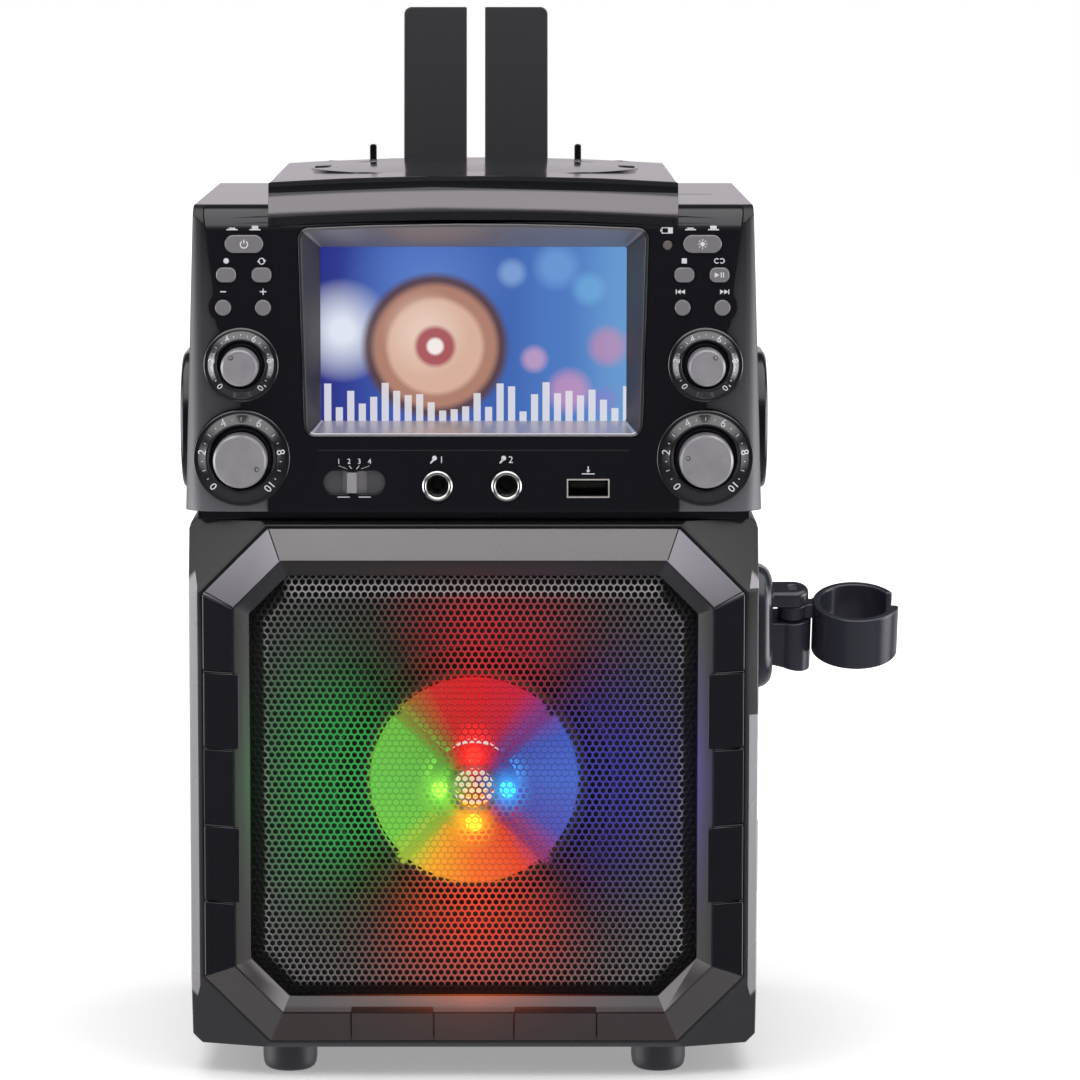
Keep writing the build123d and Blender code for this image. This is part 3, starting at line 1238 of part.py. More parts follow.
def make_pot_bodies():
    """Four potentiometers behind the panel."""
    bodies = []
    for name in DIALS:
        x, z = dial_place(name)
        body = drum(x, z, PANEL_BACK + 0.3, BOARD_DEPTH - 0.02, POT_RADIUS)
        bodies.append(body - drum(x, z, PANEL_BACK - 1, BOARD_DEPTH - 1.6, SHAFT_RADIUS + SHAFT_CLEARANCE))
    return bodies


def make_button(name):
    """Button cap with a flange behind the panel and a stem to its switch."""
    face = -PANEL_RISE - BUTTON_RISE
    flange = PANEL_BACK + 0.3
    cap = prism(button_sketch(name), face, flange + 0.8)
    rim = cap.edges().filter_by(Plane.XZ).group_by(Axis.Y)[0]
    cap = fillet(rim, 0.35)
    x, z = button_place(name)
    cap = cap + prism(button_sketch(name, 0.7), flange, flange + 1.0)
    return cap + drum(x, z, flange, flange + 2.6, 1.4)


def make_control_board():
    """U-shaped circuit board with a switch behind every button and the slide switch."""
    d0 = BOARD_DEPTH
    d1 = BOARD_DEPTH + BOARD_THICKNESS
    inner = LCD_FRAME[0] / 2 + 2.5
    outer = head_half(SHOULDER) - WALL - 2.0
    low = HEAD_BOTTOM + 3.2
    parts = []
    for side in (-1, 1):
        x0 = min(side * inner, side * outer)
        x1 = max(side * inner, side * outer)
        parts.append(slab(x0, x1, d0, d1, low, SHOULDER - 8))
    parts.append(slab(-outer, outer, d0, d1, low, HEAD_BOTTOM + 17))
    board = joined(parts)
    for x in jack_places():
        board = board - drum(x, HEAD_BOTTOM + JACK_HEIGHT, 0, 30, JACK_BODY + 0.3)
    for name in BUTTONS:
        x, z = button_place(name)
        board = board + (Pos(x, FRONT_Y + (4.4 + d0) / 2, z) * Box(4.6, d0 - 4.4 + 0.1, 4.2))
    x, z = SLIDER_PLACE[0], HEAD_BOTTOM + SLIDER_PLACE[1]
    board = board + slab(x - 7, x + 7, 3.2, d0 + 0.1, z - 4, z + 4)
    usb_x, usb_z = USB_PLACE[0], HEAD_BOTTOM + USB_PLACE[1]
    return board - slab(usb_x - 8, usb_x + 8, 0, d0 - 0.05, usb_z - 4, usb_z + 4)


def make_battery_indicator():
    """Small lamp above the stop button."""
    x = HEAD_HALF - LED_PLACE[0]
    z = SHOULDER - LED_PLACE[1]
    lamp = drum(x, z, -PANEL_RISE - 0.4, BOARD_DEPTH - 0.02, LED_RADIUS)
    return fillet(lamp.edges().filter_by(GeomType.CIRCLE).sort_by(Axis.Y)[0], 0.5)


def make_function_slider():
    """Slider tab on a plate that runs behind the panel."""
    z = HEAD_BOTTOM + SLIDER_PLACE[1]
    x = SLIDER_PLACE[0] - SLIDER_STEP / 2
    back = PANEL_BACK + 0.3
    tab = slab(x - SLIDER_TAB[0] / 2, x + SLIDER_TAB[0] / 2, -PANEL_RISE - 1.6, back + 0.5,
               z - SLIDER_TAB[1] / 2, z + SLIDER_TAB[1] / 2)
    plate = slab(x - 7.5, x + 7.5, back, back + 1.0, z - 4.4, z + 4.4)
    return tab + plate + slab(x - 1, x + 1, back, 3.0, z - 1, z + 1)


def make_mic_jacks():
    """Two 6.35 mm sockets with bright nuts."""
    jacks = []
    z = HEAD_BOTTOM + JACK_HEIGHT
    mouth = -PANEL_RISE - SUB_PANEL_RISE - 1.2
    for x in jack_places():
        body = drum(x, z, mouth, mouth + JACK_LENGTH, JACK_BODY)
        nut = drum(x, z, mouth, -PANEL_RISE - SUB_PANEL_RISE - 0.02, JACK_NUT)
        body = body + nut
        rim = body.edges().filter_by(GeomType.CIRCLE).sort_by(Axis.Y)[0]
        body = fillet(rim, 0.5)
        jacks.append(body - drum(x, z, mouth - 1, mouth + JACK_LENGTH - 1.5, JACK_BORE))
    return jacks


def make_usb_socket():
    """Type A socket: a folded steel shell with a tongue set back from its mouth."""
    x, z = USB_PLACE[0], HEAD_BOTTOM + USB_PLACE[1]
    width, height = USB_OPENING
    outer_w, outer_h = usb_outer()
    front = -PANEL_RISE - SUB_PANEL_RISE - 0.3
    back = BOARD_DEPTH - 0.1
    shell = prism(Pos(x, z) * Rectangle(outer_w, outer_h), front, back)
    shell = shell - prism(Pos(x, z) * Rectangle(width, height), front - 1, back - 0.6)
    tongue = prism(Pos(x, z + 0.75) * Rectangle(11.1, 1.8), front + 4.3, back - 0.3)
    return shell + tongue


# ---------------------------------------------------------------- cradle, covers, microphone holder
def make_tablet_cradle():
    """Two bars on one hinged foot, leaning back behind the lid."""
    length = CRADLE_LENGTH
    half = CRADLE_WIDTH / 2
    outline = Pos(0, length / 2) * Rectangle(CRADLE_WIDTH, length)
    top_corners = outline.vertices().group_by(Axis.Y)[-1]
    outline = fillet(top_corners, 2.6)
    foot_height = 8.0
    slot = Pos(0, (length + foot_height) / 2 + 1) * Rectangle(CRADLE_SLOT, length - foot_height + 2)
    outline = outline - slot
    lean = radians(CRADLE_LEAN)
    plane = Plane(
        origin=(0, FRONT_Y + CRADLE_HINGE, CRADLE_Z),
        x_dir=(1, 0, 0),
        z_dir=(0, -cos(lean), sin(lean)),
    )
    plate = extrude(plane * outline, amount=CRADLE_THICKNESS / 2, both=True)
    plate = plate + barrel(-half, half, CRADLE_HINGE, CRADLE_Z, 2.6)
    return plate + barrel(-half - EAR_THICKNESS, half + EAR_THICKNESS, CRADLE_HINGE, CRADLE_Z, 1.5)


def make_side_covers():
    """Two oval covers on the sides of the head."""
    covers = []
    centre_z = HEAD_BOTTOM + 2.0 + COVER_HEIGHT / 2
    centre_d = HEAD_SPLIT + 2.0
    oval = Pos(centre_d, centre_z) * RectangleRounded(COVER_LENGTH, COVER_HEIGHT, COVER_HEIGHT * 0.46)
    for side in (-1, 1):
        reach = HEAD_HALF + COVER_RISE
        x0 = min(side * (HEAD_HALF - 6), side * reach)
        x1 = max(side * (HEAD_HALF - 6), side * reach)
        body = side_prism(oval, x0, x1)
        face = body.faces().sort_by(Axis.X)[-1 if side > 0 else 0]
        body = fillet(face.edges(), 1.6)
        covers.append(body - head_block(-0.03))
    return covers


def holder_plane():
    """Tilted plane at the clip's pivot, its normal along the clip's pin."""
    tilt = radians(HOLDER_TILT)
    return Plane(
        origin=(CABINET_HALF + HOLDER_REACH, FRONT_Y + HOLDER_DEPTH, HOLDER_HEIGHT + HOLDER_RISE),
        x_dir=(1, 0, 0),
        z_dir=(0, -sin(tilt), cos(tilt)),
    )


def tilted(shape):
    """Moves a shape drawn about the pivot into its tilted place."""
    return holder_plane().location * shape


def make_mic_holder_base():
    """Domed base on the cabinet's side with a clevis for the clip."""
    wall = CABINET_HALF + 0.05
    z = HOLDER_HEIGHT
    plate = side_prism(Pos(HOLDER_DEPTH, z) * RectangleRounded(30, 40, 12), wall, wall + HOLDER_PLATE)
    plate = fillet(plate.faces().sort_by(Axis.X)[-1].edges(), 5.0)
    root = HOLDER_REACH - HOLDER_PLATE + 2.0
    drop = LOWER_ARM_DROP + 4.0 - SLOT_HALF
    middle = -SLOT_HALF - drop / 2
    lower = Pos(1.9 - (root + 1.9) / 2, 0, middle) * Box(root + 1.9, 11.4, drop)
    lower = lower + Pos(0, 0, middle) * Cylinder(LOWER_ARM_RADIUS, drop)
    slope = Pos(LOWER_ARM_RADIUS, 0, -LOWER_ARM_DROP) * Rot(0, 14.5, 0) * Pos(-10, 0, -10) * Box(60, 40, 20)
    lower = lower - slope
    ear = Pos(-root / 2, 0, SLOT_HALF + EAR_HEIGHT / 2) * Box(root, 10.4, EAR_HEIGHT)
    ear = ear + Pos(0, 0, SLOT_HALF + EAR_HEIGHT / 2) * Cylinder(5.2, EAR_HEIGHT)
    ear = chamfer(ear.faces().sort_by(Axis.Z)[-1].edges(), 1.0)
    base = plate + tilted(lower) + tilted(ear)
    base = base - slab(CABINET_HALF - 20, wall, HOLDER_DEPTH - 60, HOLDER_DEPTH + 60, 0, CREST)
    base = base - tilted(Cylinder(7.4, 2 * SLOT_HALF))
    return base - tilted(Cylinder(CLIP_PIN + PIN_CLEARANCE, 60))


def make_mic_clip():
    """Springy C-shaped clip on a tongue that turns in the clevis."""
    ring_x = CLIP_REACH
    outer = CLIP_BORE + CLIP_WALL
    ring = Pos(ring_x, 0, -CLIP_DROP) * Cylinder(outer, CLIP_HEIGHT)
    bore = Pos(ring_x, 0, -CLIP_DROP) * Cylinder(CLIP_BORE, CLIP_HEIGHT + 2)
    thick = 2 * SLOT_HALF - 0.6
    tongue = Cylinder(4.8, thick)
    arm = Pos(ring_x / 2 - 3.0, 0, 0) * Box(ring_x - 8.0, 5.0, thick)
    clip = ring + tongue + arm
    clip = clip - bore
    half = radians(CLIP_OPENING / 2)
    far = 40.0
    wedge = Polygon((0, 0), (far * cos(half), -far * sin(half)), (far * cos(half), far * sin(half)), align=None)
    wedge = extrude(Pos(ring_x, 0, -20) * Rot(0, 0, 8) * wedge, amount=40)
    clip = clip - wedge
    clip = clip - Cylinder(CLIP_PIN + PIN_CLEARANCE, 20)
    return tilted(clip)


def make_mic_clip_pin():
    """Steel pin through the clevis."""
    top = SLOT_HALF + EAR_HEIGHT - 0.2
    return tilted(Pos(0, 0, top - 10.0) * Cylinder(CLIP_PIN, 20.0))


# ---------------------------------------------------------------- fasteners
def pan_screw(x, z, seat):
    """Pan-head screw driven in from the back, its head on the face at depth seat."""
    head = drum(x, z, seat + 0.02, seat + 1.7, 2.7)
    head = fillet(head.edges().filter_by(GeomType.CIRCLE).sort_by(Axis.Y)[-1], 0.7)
    screw = head + drum(x, z, seat - 10, seat + 0.1, REAR_SCREW)
    cross = slab(x - 1.5, x + 1.5, seat + 1.0, seat + 3, z - 0.3, z + 0.3)
    cross = cross + slab(x - 0.3, x + 0.3, seat + 1.0, seat + 3, z - 1.5, z + 1.5)
    return screw - cross


def make_case_screws():
    """Four screws in the rear cover and four in the back of the head."""
    screws = []
    for side in (-1, 1):
        for z in rear_screw_heights():
            screws.append(pan_screw(side * rear_screw_x(), z, CABINET_DEPTH))
    for x, z in head_post_places():
        screws.append(pan_screw(x, z, HEAD_DEPTH))
    return screws


# ---------------------------------------------------------------- all pieces
PIECES = {
    "cabinet_shell": make_cabinet_shell,
    "cabinet_front": make_cabinet_front,
    "front_frame": make_front_frame,
    "side_armour": make_side_armour,
    "speaker_grille": make_speaker_grille,
    "rear_cover": make_rear_cover,
    "rear_sockets": make_rear_sockets,
    "main_board": make_main_board,
    "battery_pack": make_battery_pack,
    "feet": make_feet,
    "speaker_basket": make_speaker_basket,
    "speaker_magnet": make_speaker_magnet,
    "speaker_surround": make_speaker_surround,
    "speaker_cone": make_speaker_cone,
    "light_module": make_light_module,
    "light_lamps": make_light_lamps,
    "head_base": make_head_base,
    "head_front_housing": make_head_front_housing,
    "head_rear_housing": make_head_rear_housing,
    "top_cover": make_top_cover,
    "disc_lid": make_disc_lid,
    "disc_clamp": make_disc_clamp,
    "disc_well": make_disc_well,
    "deck_plate": make_deck_plate,
    "guide_rods": make_guide_rods,
    "optical_pickup": make_optical_pickup,
    "feed_screw": make_feed_screw,
    "deck_motors": make_deck_motors,
    "turntable": make_turntable,
    "control_panel": make_control_panel,
    "dial_rings": make_dial_rings,
    "screen_bezel": make_screen_bezel,
    "screen_lens": make_screen_lens,
    "lcd_module": make_lcd_module,
    "pot_bodies": make_pot_bodies,
    "control_board": make_control_board,
    "battery_indicator": make_battery_indicator,
    "function_slider": make_function_slider,
    "mic_jacks": make_mic_jacks,
    "usb_socket": make_usb_socket,
    "tablet_cradle": make_tablet_cradle,
    "side_covers": make_side_covers,
    "mic_holder_base": make_mic_holder_base,
    "mic_clip": make_mic_clip,
    "mic_clip_pin": make_mic_clip_pin,
    "case_screws": make_case_screws,
}


def main():
    """Builds every piece and writes its STEP file."""
    os.makedirs("parts", exist_ok=True)
    pieces = {name: make() for name, make in PIECES.items()}
    for name in DIALS:
        pieces[name + "_knob"] = make_knob(name)
    for name in BUTTONS:
        pieces[name + "_button"] = make_button(name)
    for name, shape in pieces.items():
        solids = []
        for item in shape if isinstance(shape, list) else [shape]:
            solids.extend(item.solids())
        result = solids[0] if len(solids) == 1 else Compound(children=solids)
        export_step(result, os.path.join("parts", name + ".step"))


if __name__ == "__main__":
    main()
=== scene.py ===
import bmesh
import bpy
from functools import partial
from math import cos, pi, radians, sin, sqrt
from mathutils import Matrix, Vector
from mathutils.bvhtree import BVHTree


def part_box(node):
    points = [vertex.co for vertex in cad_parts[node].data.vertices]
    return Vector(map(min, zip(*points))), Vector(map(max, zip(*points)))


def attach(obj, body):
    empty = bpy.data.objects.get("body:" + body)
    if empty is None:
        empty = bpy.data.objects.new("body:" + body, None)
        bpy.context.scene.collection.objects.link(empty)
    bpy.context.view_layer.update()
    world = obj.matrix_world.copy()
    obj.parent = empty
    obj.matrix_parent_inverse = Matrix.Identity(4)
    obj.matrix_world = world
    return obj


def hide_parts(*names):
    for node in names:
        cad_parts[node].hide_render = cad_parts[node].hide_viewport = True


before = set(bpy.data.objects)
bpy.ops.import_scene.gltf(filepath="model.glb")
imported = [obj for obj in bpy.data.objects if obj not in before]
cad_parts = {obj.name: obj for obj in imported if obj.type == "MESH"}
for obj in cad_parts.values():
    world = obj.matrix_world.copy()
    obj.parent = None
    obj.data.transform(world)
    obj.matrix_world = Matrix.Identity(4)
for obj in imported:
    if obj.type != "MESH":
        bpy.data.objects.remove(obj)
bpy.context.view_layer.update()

# ---------- cabinet
# Cabinet: a tube of injection-moulded ABS with a separate front moulding whose corners are
# faceted, held by screws from behind. The front moulding's upright bevels carry a painted reflection.
EDGE_BEVEL = 0.0029
# The painted reflection tapers over this length below the moulding's top, and between these heights
# above its foot.
TOP_TAPER = 0.021
FOOT_START = 0.008
FOOT_END = 0.020


def linear(hex_colour):
    """An sRGB hex colour as linear values."""
    parts = [int(hex_colour[i:i + 2], 16) / 255 for i in (1, 3, 5)]
    return [c / 12.92 if c <= 0.04045 else ((c + 0.055) / 1.055) ** 2.4 for c in parts]


def add_node(tree, kind, *inputs, out=0, **settings):
    """Adds a node and gives one of its outputs, or all of them where out is None.

    The kind leaves out the shader nodes' common first word, and may be followed by an operation.
    The inputs are values or sockets, in order or in a dictionary; the settings are the node's own.
    """
    kind, *operation = kind.split()
    made = tree.nodes.new(kind if "Node" in kind else "ShaderNode" + kind)
    if operation:
        made.operation = operation[0]
    for key, value in settings.items():
        setattr(made, key, value)
    keyed = inputs[0] if inputs and isinstance(inputs[0], dict) else dict(enumerate(inputs))
    for key, value in keyed.items():
        if isinstance(value, bpy.types.NodeSocket):
            tree.links.new(value, made.inputs[key])
        else:
            made.inputs[key].default_value = value
    return made.outputs if out is None else made.outputs[out]


def nodes_of(owner):
    """The node tree of a material or a world, and the function that adds nodes to it."""
    return owner.node_tree, partial(add_node, owner.node_tree)


def over(tree, below, mask, colour):
    """A colour laid over what is below by as much as the mask says."""
    return add_node(tree, "Mix", {"Factor": mask, 6: below, 7: (*linear(colour), 1)}, out=2, data_type="RGBA")


def finish_material(name, tone, other, rough, spread=0.06, grain=900.0, bump=0.0, metallic=0.0, coat=0.0,
                    specular=0.5, patch=18.0):
    """A surface of two near tones in soft patches, with uneven roughness and an optional fine grain."""
    material = bpy.data.materials.new(name)
    material.use_nodes = True
    tree, add = nodes_of(material)
    shader = tree.nodes["Principled BSDF"]
    place = add("TexCoord", out="Object")
    cloud = add("TexNoise", {"Vector": place, "Scale": patch, "Detail": 3.0}, out="Fac")
    tree.links.new(over(tree, (*linear(tone), 1), cloud, other), shader.inputs["Base Color"])
    uneven = add("MapRange", {"Value": cloud, 3: rough - spread / 2, 4: rough + spread / 2})
    tree.links.new(uneven, shader.inputs["Roughness"])
    shader.inputs["Metallic"].default_value = metallic
    shader.inputs["Specular IOR Level"].default_value = specular
    shader.inputs["Coat Weight"].default_value = coat
    shader.inputs["Coat Roughness"].default_value = 0.06
    if bump:
        fine = add("TexNoise", {"Vector": place, "Scale": grain, "Detail": 2.0}, out="Fac")
        relief = add("Bump", {"Height": fine, "Strength": bump, "Distance": 0.0002})
        tree.links.new(relief, shader.inputs["Normal"])
    return material


def recolour(tree, mask, colour):
    """Lays a colour over a material's own where the mask is 1."""
    base = tree.nodes["Principled BSDF"].inputs["Base Color"]
    tree.links.new(over(tree, base.links[0].from_socket, mask, colour), base)


def multiplied(tree, factor):
    """Multiplies a material's colour by a factor."""
    base = tree.nodes["Principled BSDF"].inputs["Base Color"]
    toned = add_node(tree, "VectorMath MULTIPLY", base.links[0].from_socket, factor)
    tree.links.new(toned, base)


def axes(tree):
    """Object coordinates whole, the distance from the machine's middle plane, and the three parts."""
    add = partial(add_node, tree)
    place = add("TexCoord", out="Object")
    parts = add("SeparateXYZ", place, out=None)
    return place, add("Math ABSOLUTE", parts[0]), parts


def plain_mesh(piece):
    """Applies every modifier and leaves a plain mesh."""
    graph = bpy.context.evaluated_depsgraph_get()
    result = bpy.data.meshes.new_from_object(piece.evaluated_get(graph))
    piece.modifiers.clear()
    piece.data = result
    return piece


def shaded(piece):
    """Smooth shading with crisp edges and normals weighted by face size."""
    for polygon in piece.data.polygons:
        polygon.use_smooth = True
    piece.data.set_sharp_from_angle(angle=radians(38.0))
    weighted = piece.modifiers.new("weighted", "WEIGHTED_NORMAL")
    weighted.keep_sharp = True
    return plain_mesh(piece)


def new_piece(name, mesh, body, material):
    """An object that rides on a body, with its material."""
    piece = bpy.data.objects.new(name, mesh)
    bpy.context.scene.collection.objects.link(piece)
    piece.data.materials.clear()
    piece.data.materials.append(material)
    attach(piece, body)
    return piece


def refined(node, body, material, width=0.0003, steps=2):
    """A CAD piece with its edges rounded, as a mesh of its own."""
    work = bmesh.new()
    work.from_mesh(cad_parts[node].data)
    bmesh.ops.remove_doubles(work, verts=work.verts, dist=0.000004)
    bmesh.ops.dissolve_limit(work, angle_limit=radians(1.0), verts=work.verts, edges=work.edges)
    bmesh.ops.connect_verts_concave(work, faces=work.faces)
    if width:
        sharp = [e for e in work.edges if len(e.link_faces) == 2 and e.calc_face_angle(0) > radians(25.0)]
        bmesh.ops.bevel(work, geom=sharp, offset=width, segments=steps, profile=0.5, affect="EDGES",
                        clamp_overlap=False, miter_outer="ARC")
    mesh = bpy.data.meshes.new(node + "_look")
    work.to_mesh(mesh)
    work.free()
    if "custom_normal" in mesh.attributes:
        mesh.attributes.remove(mesh.attributes["custom_normal"])
    piece = new_piece(node + "_look", mesh, body, material)
    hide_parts(node)
    return shaded(piece)


def painted_edge_reflection(tree):
    """Mask of the painted reflection: 1 on the front moulding's upright bevels, tapered at both ends, and
    left out behind the holder.
    """
    add = partial(add_node, tree)
    low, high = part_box("cabinet_front")
    base_low, base_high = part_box("mic_holder_base")
    base_half = (base_high.z - base_low.z) / 2
    side, parts = axes(tree)[1:]
    below_top = add("MapRange", parts[2], high.z, high.z - TOP_TAPER)
    above_foot = add("MapRange", parts[2], low.z + FOOT_START, low.z + FOOT_END)
    taper = add("Math MINIMUM", below_top, above_foot)
    reach = add("Math MULTIPLY_ADD", taper, EDGE_BEVEL, side)
    edge = add("MapRange", reach, high.x + 0.00002, high.x + 0.00012)
    on_right = add("Math GREATER_THAN", parts[0], 0.0)
    level = add("Math COMPARE", parts[2], base_low.z + base_half, base_half)
    behind = add("Math MULTIPLY", on_right, level)
    seen = add("Math SUBTRACT", edge, behind, use_clamp=True)
    in_front = add("MapRange", parts[1], low.y + EDGE_BEVEL + 0.0005, low.y + EDGE_BEVEL)
    return add("Math MULTIPLY", seen, in_front)


# Moulded ABS with a spark-eroded skin: dull dark grey, with a fine grain that breaks up each highlight.
spark_abs = finish_material("spark_textured_abs", "#3f3f42", "#353538", 0.4, bump=0.35, grain=1400.0)
# Moulded ABS with a fine grain: satin, so that every facet shows one even tone; painted shade darkens it
# above.
facet_abs = finish_material("fine_grained_abs", "#3c3b3f", "#343337", 0.27, bump=0.08, grain=1400.0,
                            metallic=0.2, specular=0.95)
tree, add = nodes_of(facet_abs)
height = axes(tree)[2][2]
# Painted shade: darker towards the moulding's top.
multiplied(tree, add("MapRange", height, 0.135, 0.160, 1.0, 0.3))
# Painted reflection: a pale strip along the upright bevels.
recolour(tree, painted_edge_reflection(tree), "#a8a4a9")
refined("cabinet_shell", "case", spark_abs, 0.0006, 3)
refined("cabinet_front", "case", facet_abs, 0.0004, 2)

# ---------- front frame
# Octagonal trim frame, ABS sprayed silver-grey and clipped into the front moulding. Its side bars
# carry gloss blue-black armour strips of five blocks; the bottom bar is stepped the same way.


def line_mask(tree, place, start, end, half=0.00018):
    """1 within half of the straight line from start to end, given as (x, z)."""
    add = partial(add_node, tree)
    begin = Vector((start[0], 0, start[1]))
    along = Vector((end[0], 0, end[1])) - begin
    length = along.length
    along.normalize()
    across = Vector((-along.z, 0, along.x))
    offset = add("VectorMath SUBTRACT", place, begin)
    run = add("VectorMath DOT_PRODUCT", offset, along, out="Value")
    miss = add("VectorMath DOT_PRODUCT", offset, across, out="Value")
    gap = add("Math ABSOLUTE", miss)
    near = add("MapRange", gap, half * 1.3, half * 0.7)
    inside = add("Math COMPARE", run, length / 2, length / 2)
    return add("Math MULTIPLY", near, inside)


def radius_from(tree, place, centre):
    """Distance from an axis that runs from front to back through the centre."""
    add = partial(add_node, tree)
    offset = add("VectorMath SUBTRACT", place, centre)
    flat = add("VectorMath MULTIPLY", offset, (1, 0, 1))
    return add("VectorMath LENGTH", flat, out="Value")


def ramp(tree, value, stops, mode="LINEAR"):
    """A colour ramp; a stop is a position with a colour or with one level for all three."""
    colour = add_node(tree, "ValToRGB", value)
    made = colour.node.color_ramp
    made.interpolation = mode
    while len(made.elements) < len(stops):
        made.elements.new(0.5)
    for element, (position, level) in zip(made.elements, stops):
        element.position = position
        element.color = (level, level, level, 1) if isinstance(level, float) else (*level, 1)
    return colour


def angle_tint(tree, place, centre, stops):
    """Colour by the angle round the speaker's axis; stops are (degrees from +X, hex colour)."""
    add = partial(add_node, tree)
    offset = add("VectorMath SUBTRACT", place, centre)
    parts = add("SeparateXYZ", offset, out=None)
    turn = add("Math ARCTAN2", parts[2], parts[0])
    share = add("MapRange", turn, -pi, pi)
    return ramp(tree, share, [((angle + 180) / 360, linear(colour)) for angle, colour in stops])


def give_light(tree, colour, strength):
    """Makes a surface glow; colour and strength may be sockets."""
    for key, value in (("Emission Color", colour), ("Emission Strength", strength)):
        socket = tree.nodes["Principled BSDF"].inputs[key]
        if isinstance(value, bpy.types.NodeSocket):
            tree.links.new(value, socket)
        else:
            socket.default_value = value


# Painted glow of the lamps' light spilling on the frame's inner lip, by the angle round the loudspeaker.
SPILL_TINTS = ((-180, "#1c6a2c"), (-138, "#2a2018"), (-110, "#8a4018"), (-90, "#e0601e"), (-70, "#8a301c"),
               (-45, "#301430"), (0, "#3c2c98"), (45, "#2a1438"), (90, "#3c1218"), (135, "#141a14"),
               (180, "#1c6a2c"))
# Ends of the two mitre joints on the right, as (x, z).
MITRE_HIGH = (0.0645, 0.1769), (0.0607, 0.1666)
MITRE_LOW = (0.0844, 0.1563), (0.0754, 0.1518)
# The frame's octagonal window: half width, height of its middle, half height, and its corners' cut.
WINDOW_SIDE = 0.0703
WINDOW_MIDDLE = 0.09445
WINDOW_END = 0.06695
WINDOW_CUT = 0.01203
LIP_WIDTH = 0.0050
BASE_BAR = 0.0118
DIAGONAL_SHARE = 0.7071

# Satin silver-grey paint on ABS with metallic flake; the bars' different tones are painted light and shade.
sprayed_silver = finish_material("sprayed_silver_grey", "#827e80", "#7a7678", 0.27, bump=0.04, grain=2200.0,
                                 metallic=0.78)
# Polished blue-black ABS under a clear coat: nearly black, with crisp reflections along its edges.
armour_black = finish_material("lacquered_abs", "#15151d", "#111118", 0.22, bump=0.03, coat=0.5)

speaker_low, speaker_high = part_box("speaker_basket")
speaker_z = (speaker_low.z + speaker_high.z) / 2
spot = (0.0, 0.0, speaker_z + 0.0037)

tree, add = nodes_of(sprayed_silver)
place, side, parts = axes(tree)
folded = add("CombineXYZ", {0: side, 2: parts[2]})
mitre_high = line_mask(tree, folded, *MITRE_HIGH)
mitre_low = line_mask(tree, folded, *MITRE_LOW)
seams = add("Math MAXIMUM", mitre_high, mitre_low)
bare = add("Math SUBTRACT", 1.0, seams)
past_side = add("Math SUBTRACT", side, WINDOW_SIDE)
height = add("Math SUBTRACT", parts[2], WINDOW_MIDDLE)
rise = add("Math ABSOLUTE", height)
past_end = add("Math SUBTRACT", rise, WINDOW_END)
square = add("Math MAXIMUM", past_side, past_end)
both = add("Math ADD", past_side, past_end)
cut = add("Math ADD", both, WINDOW_CUT)
slanted = add("Math MULTIPLY", cut, DIAGONAL_SHARE)
past = add("Math MAXIMUM", square, slanted)
diagonal = add("Math GREATER_THAN", slanted, square)
raised = add("Math GREATER_THAN", height, 0.0)
upper_cut = add("Math MULTIPLY", diagonal, raised)
lower_cut = add("Math SUBTRACT", diagonal, raised, use_clamp=True)
# Painted shade on the window's inner lip, lighter on the lower diagonals.
lip_shade_level = add("MapRange", lower_cut, 0.0, 1.0, 0.33, 0.8)
lip_shade = add("MapRange", past, LIP_WIDTH, LIP_WIDTH + 0.0003, lip_shade_level, 1.0)
multiplied(tree, add("Math MULTIPLY", lip_shade, bare))
base_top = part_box("front_frame")[0].z + BASE_BAR
base_rows = add("MapRange", parts[2], base_top, base_top - 0.0006)
base_bar = add("Math SUBTRACT", base_rows, diagonal, use_clamp=True)
# Painted highlight on the upper diagonals and painted shade on the bottom bar.
for mask, tone in ((upper_cut, (1.34, 1.36, 1.48)), (base_bar, (0.72, 0.62, 0.62))):
    multiplied(tree, add("Mix", {"Factor": mask, 4: (1.0, 1.0, 1.0), 5: tone}, out=1, data_type="VECTOR"))
# Painted glow of the lamps' light near the window.
near = add("MapRange", past, LIP_WIDTH + 0.0005, 0.001, 0.16, 1.0)
middle = add("MapRange", radius_from(tree, place, spot), 0.088, 0.070)
reach = add("Math MULTIPLY", near, middle)
painted_spill = add("VectorMath SCALE", {0: angle_tint(tree, place, spot, SPILL_TINTS), "Scale": reach})
give_light(tree, painted_spill, 0.42)
refined("front_frame", "case", sprayed_silver, 0.00028, 2)
refined("side_armour", "case", armour_black, 0.00035, 3)

# ---------- grille
# Speaker grille: one steel sheet, punched with staggered hexagonal holes, pressed into a low pan
# and powder coated black. The light of the four lamps behind it is painted on its webs as a glow.
PITCH = 0.00217
HOLE = PITCH * 0.435
SHEET = 0.0006
# Rows and columns of holes before the cut; the rows are even in number, which the stagger relies on.
ROWS = 84
COLUMNS = 72
FLANGE = 0.0029
FLANK_DEPTH = 0.0034
CONE_RADIUS = 0.0342
LAMP_RADIUS = 0.0025

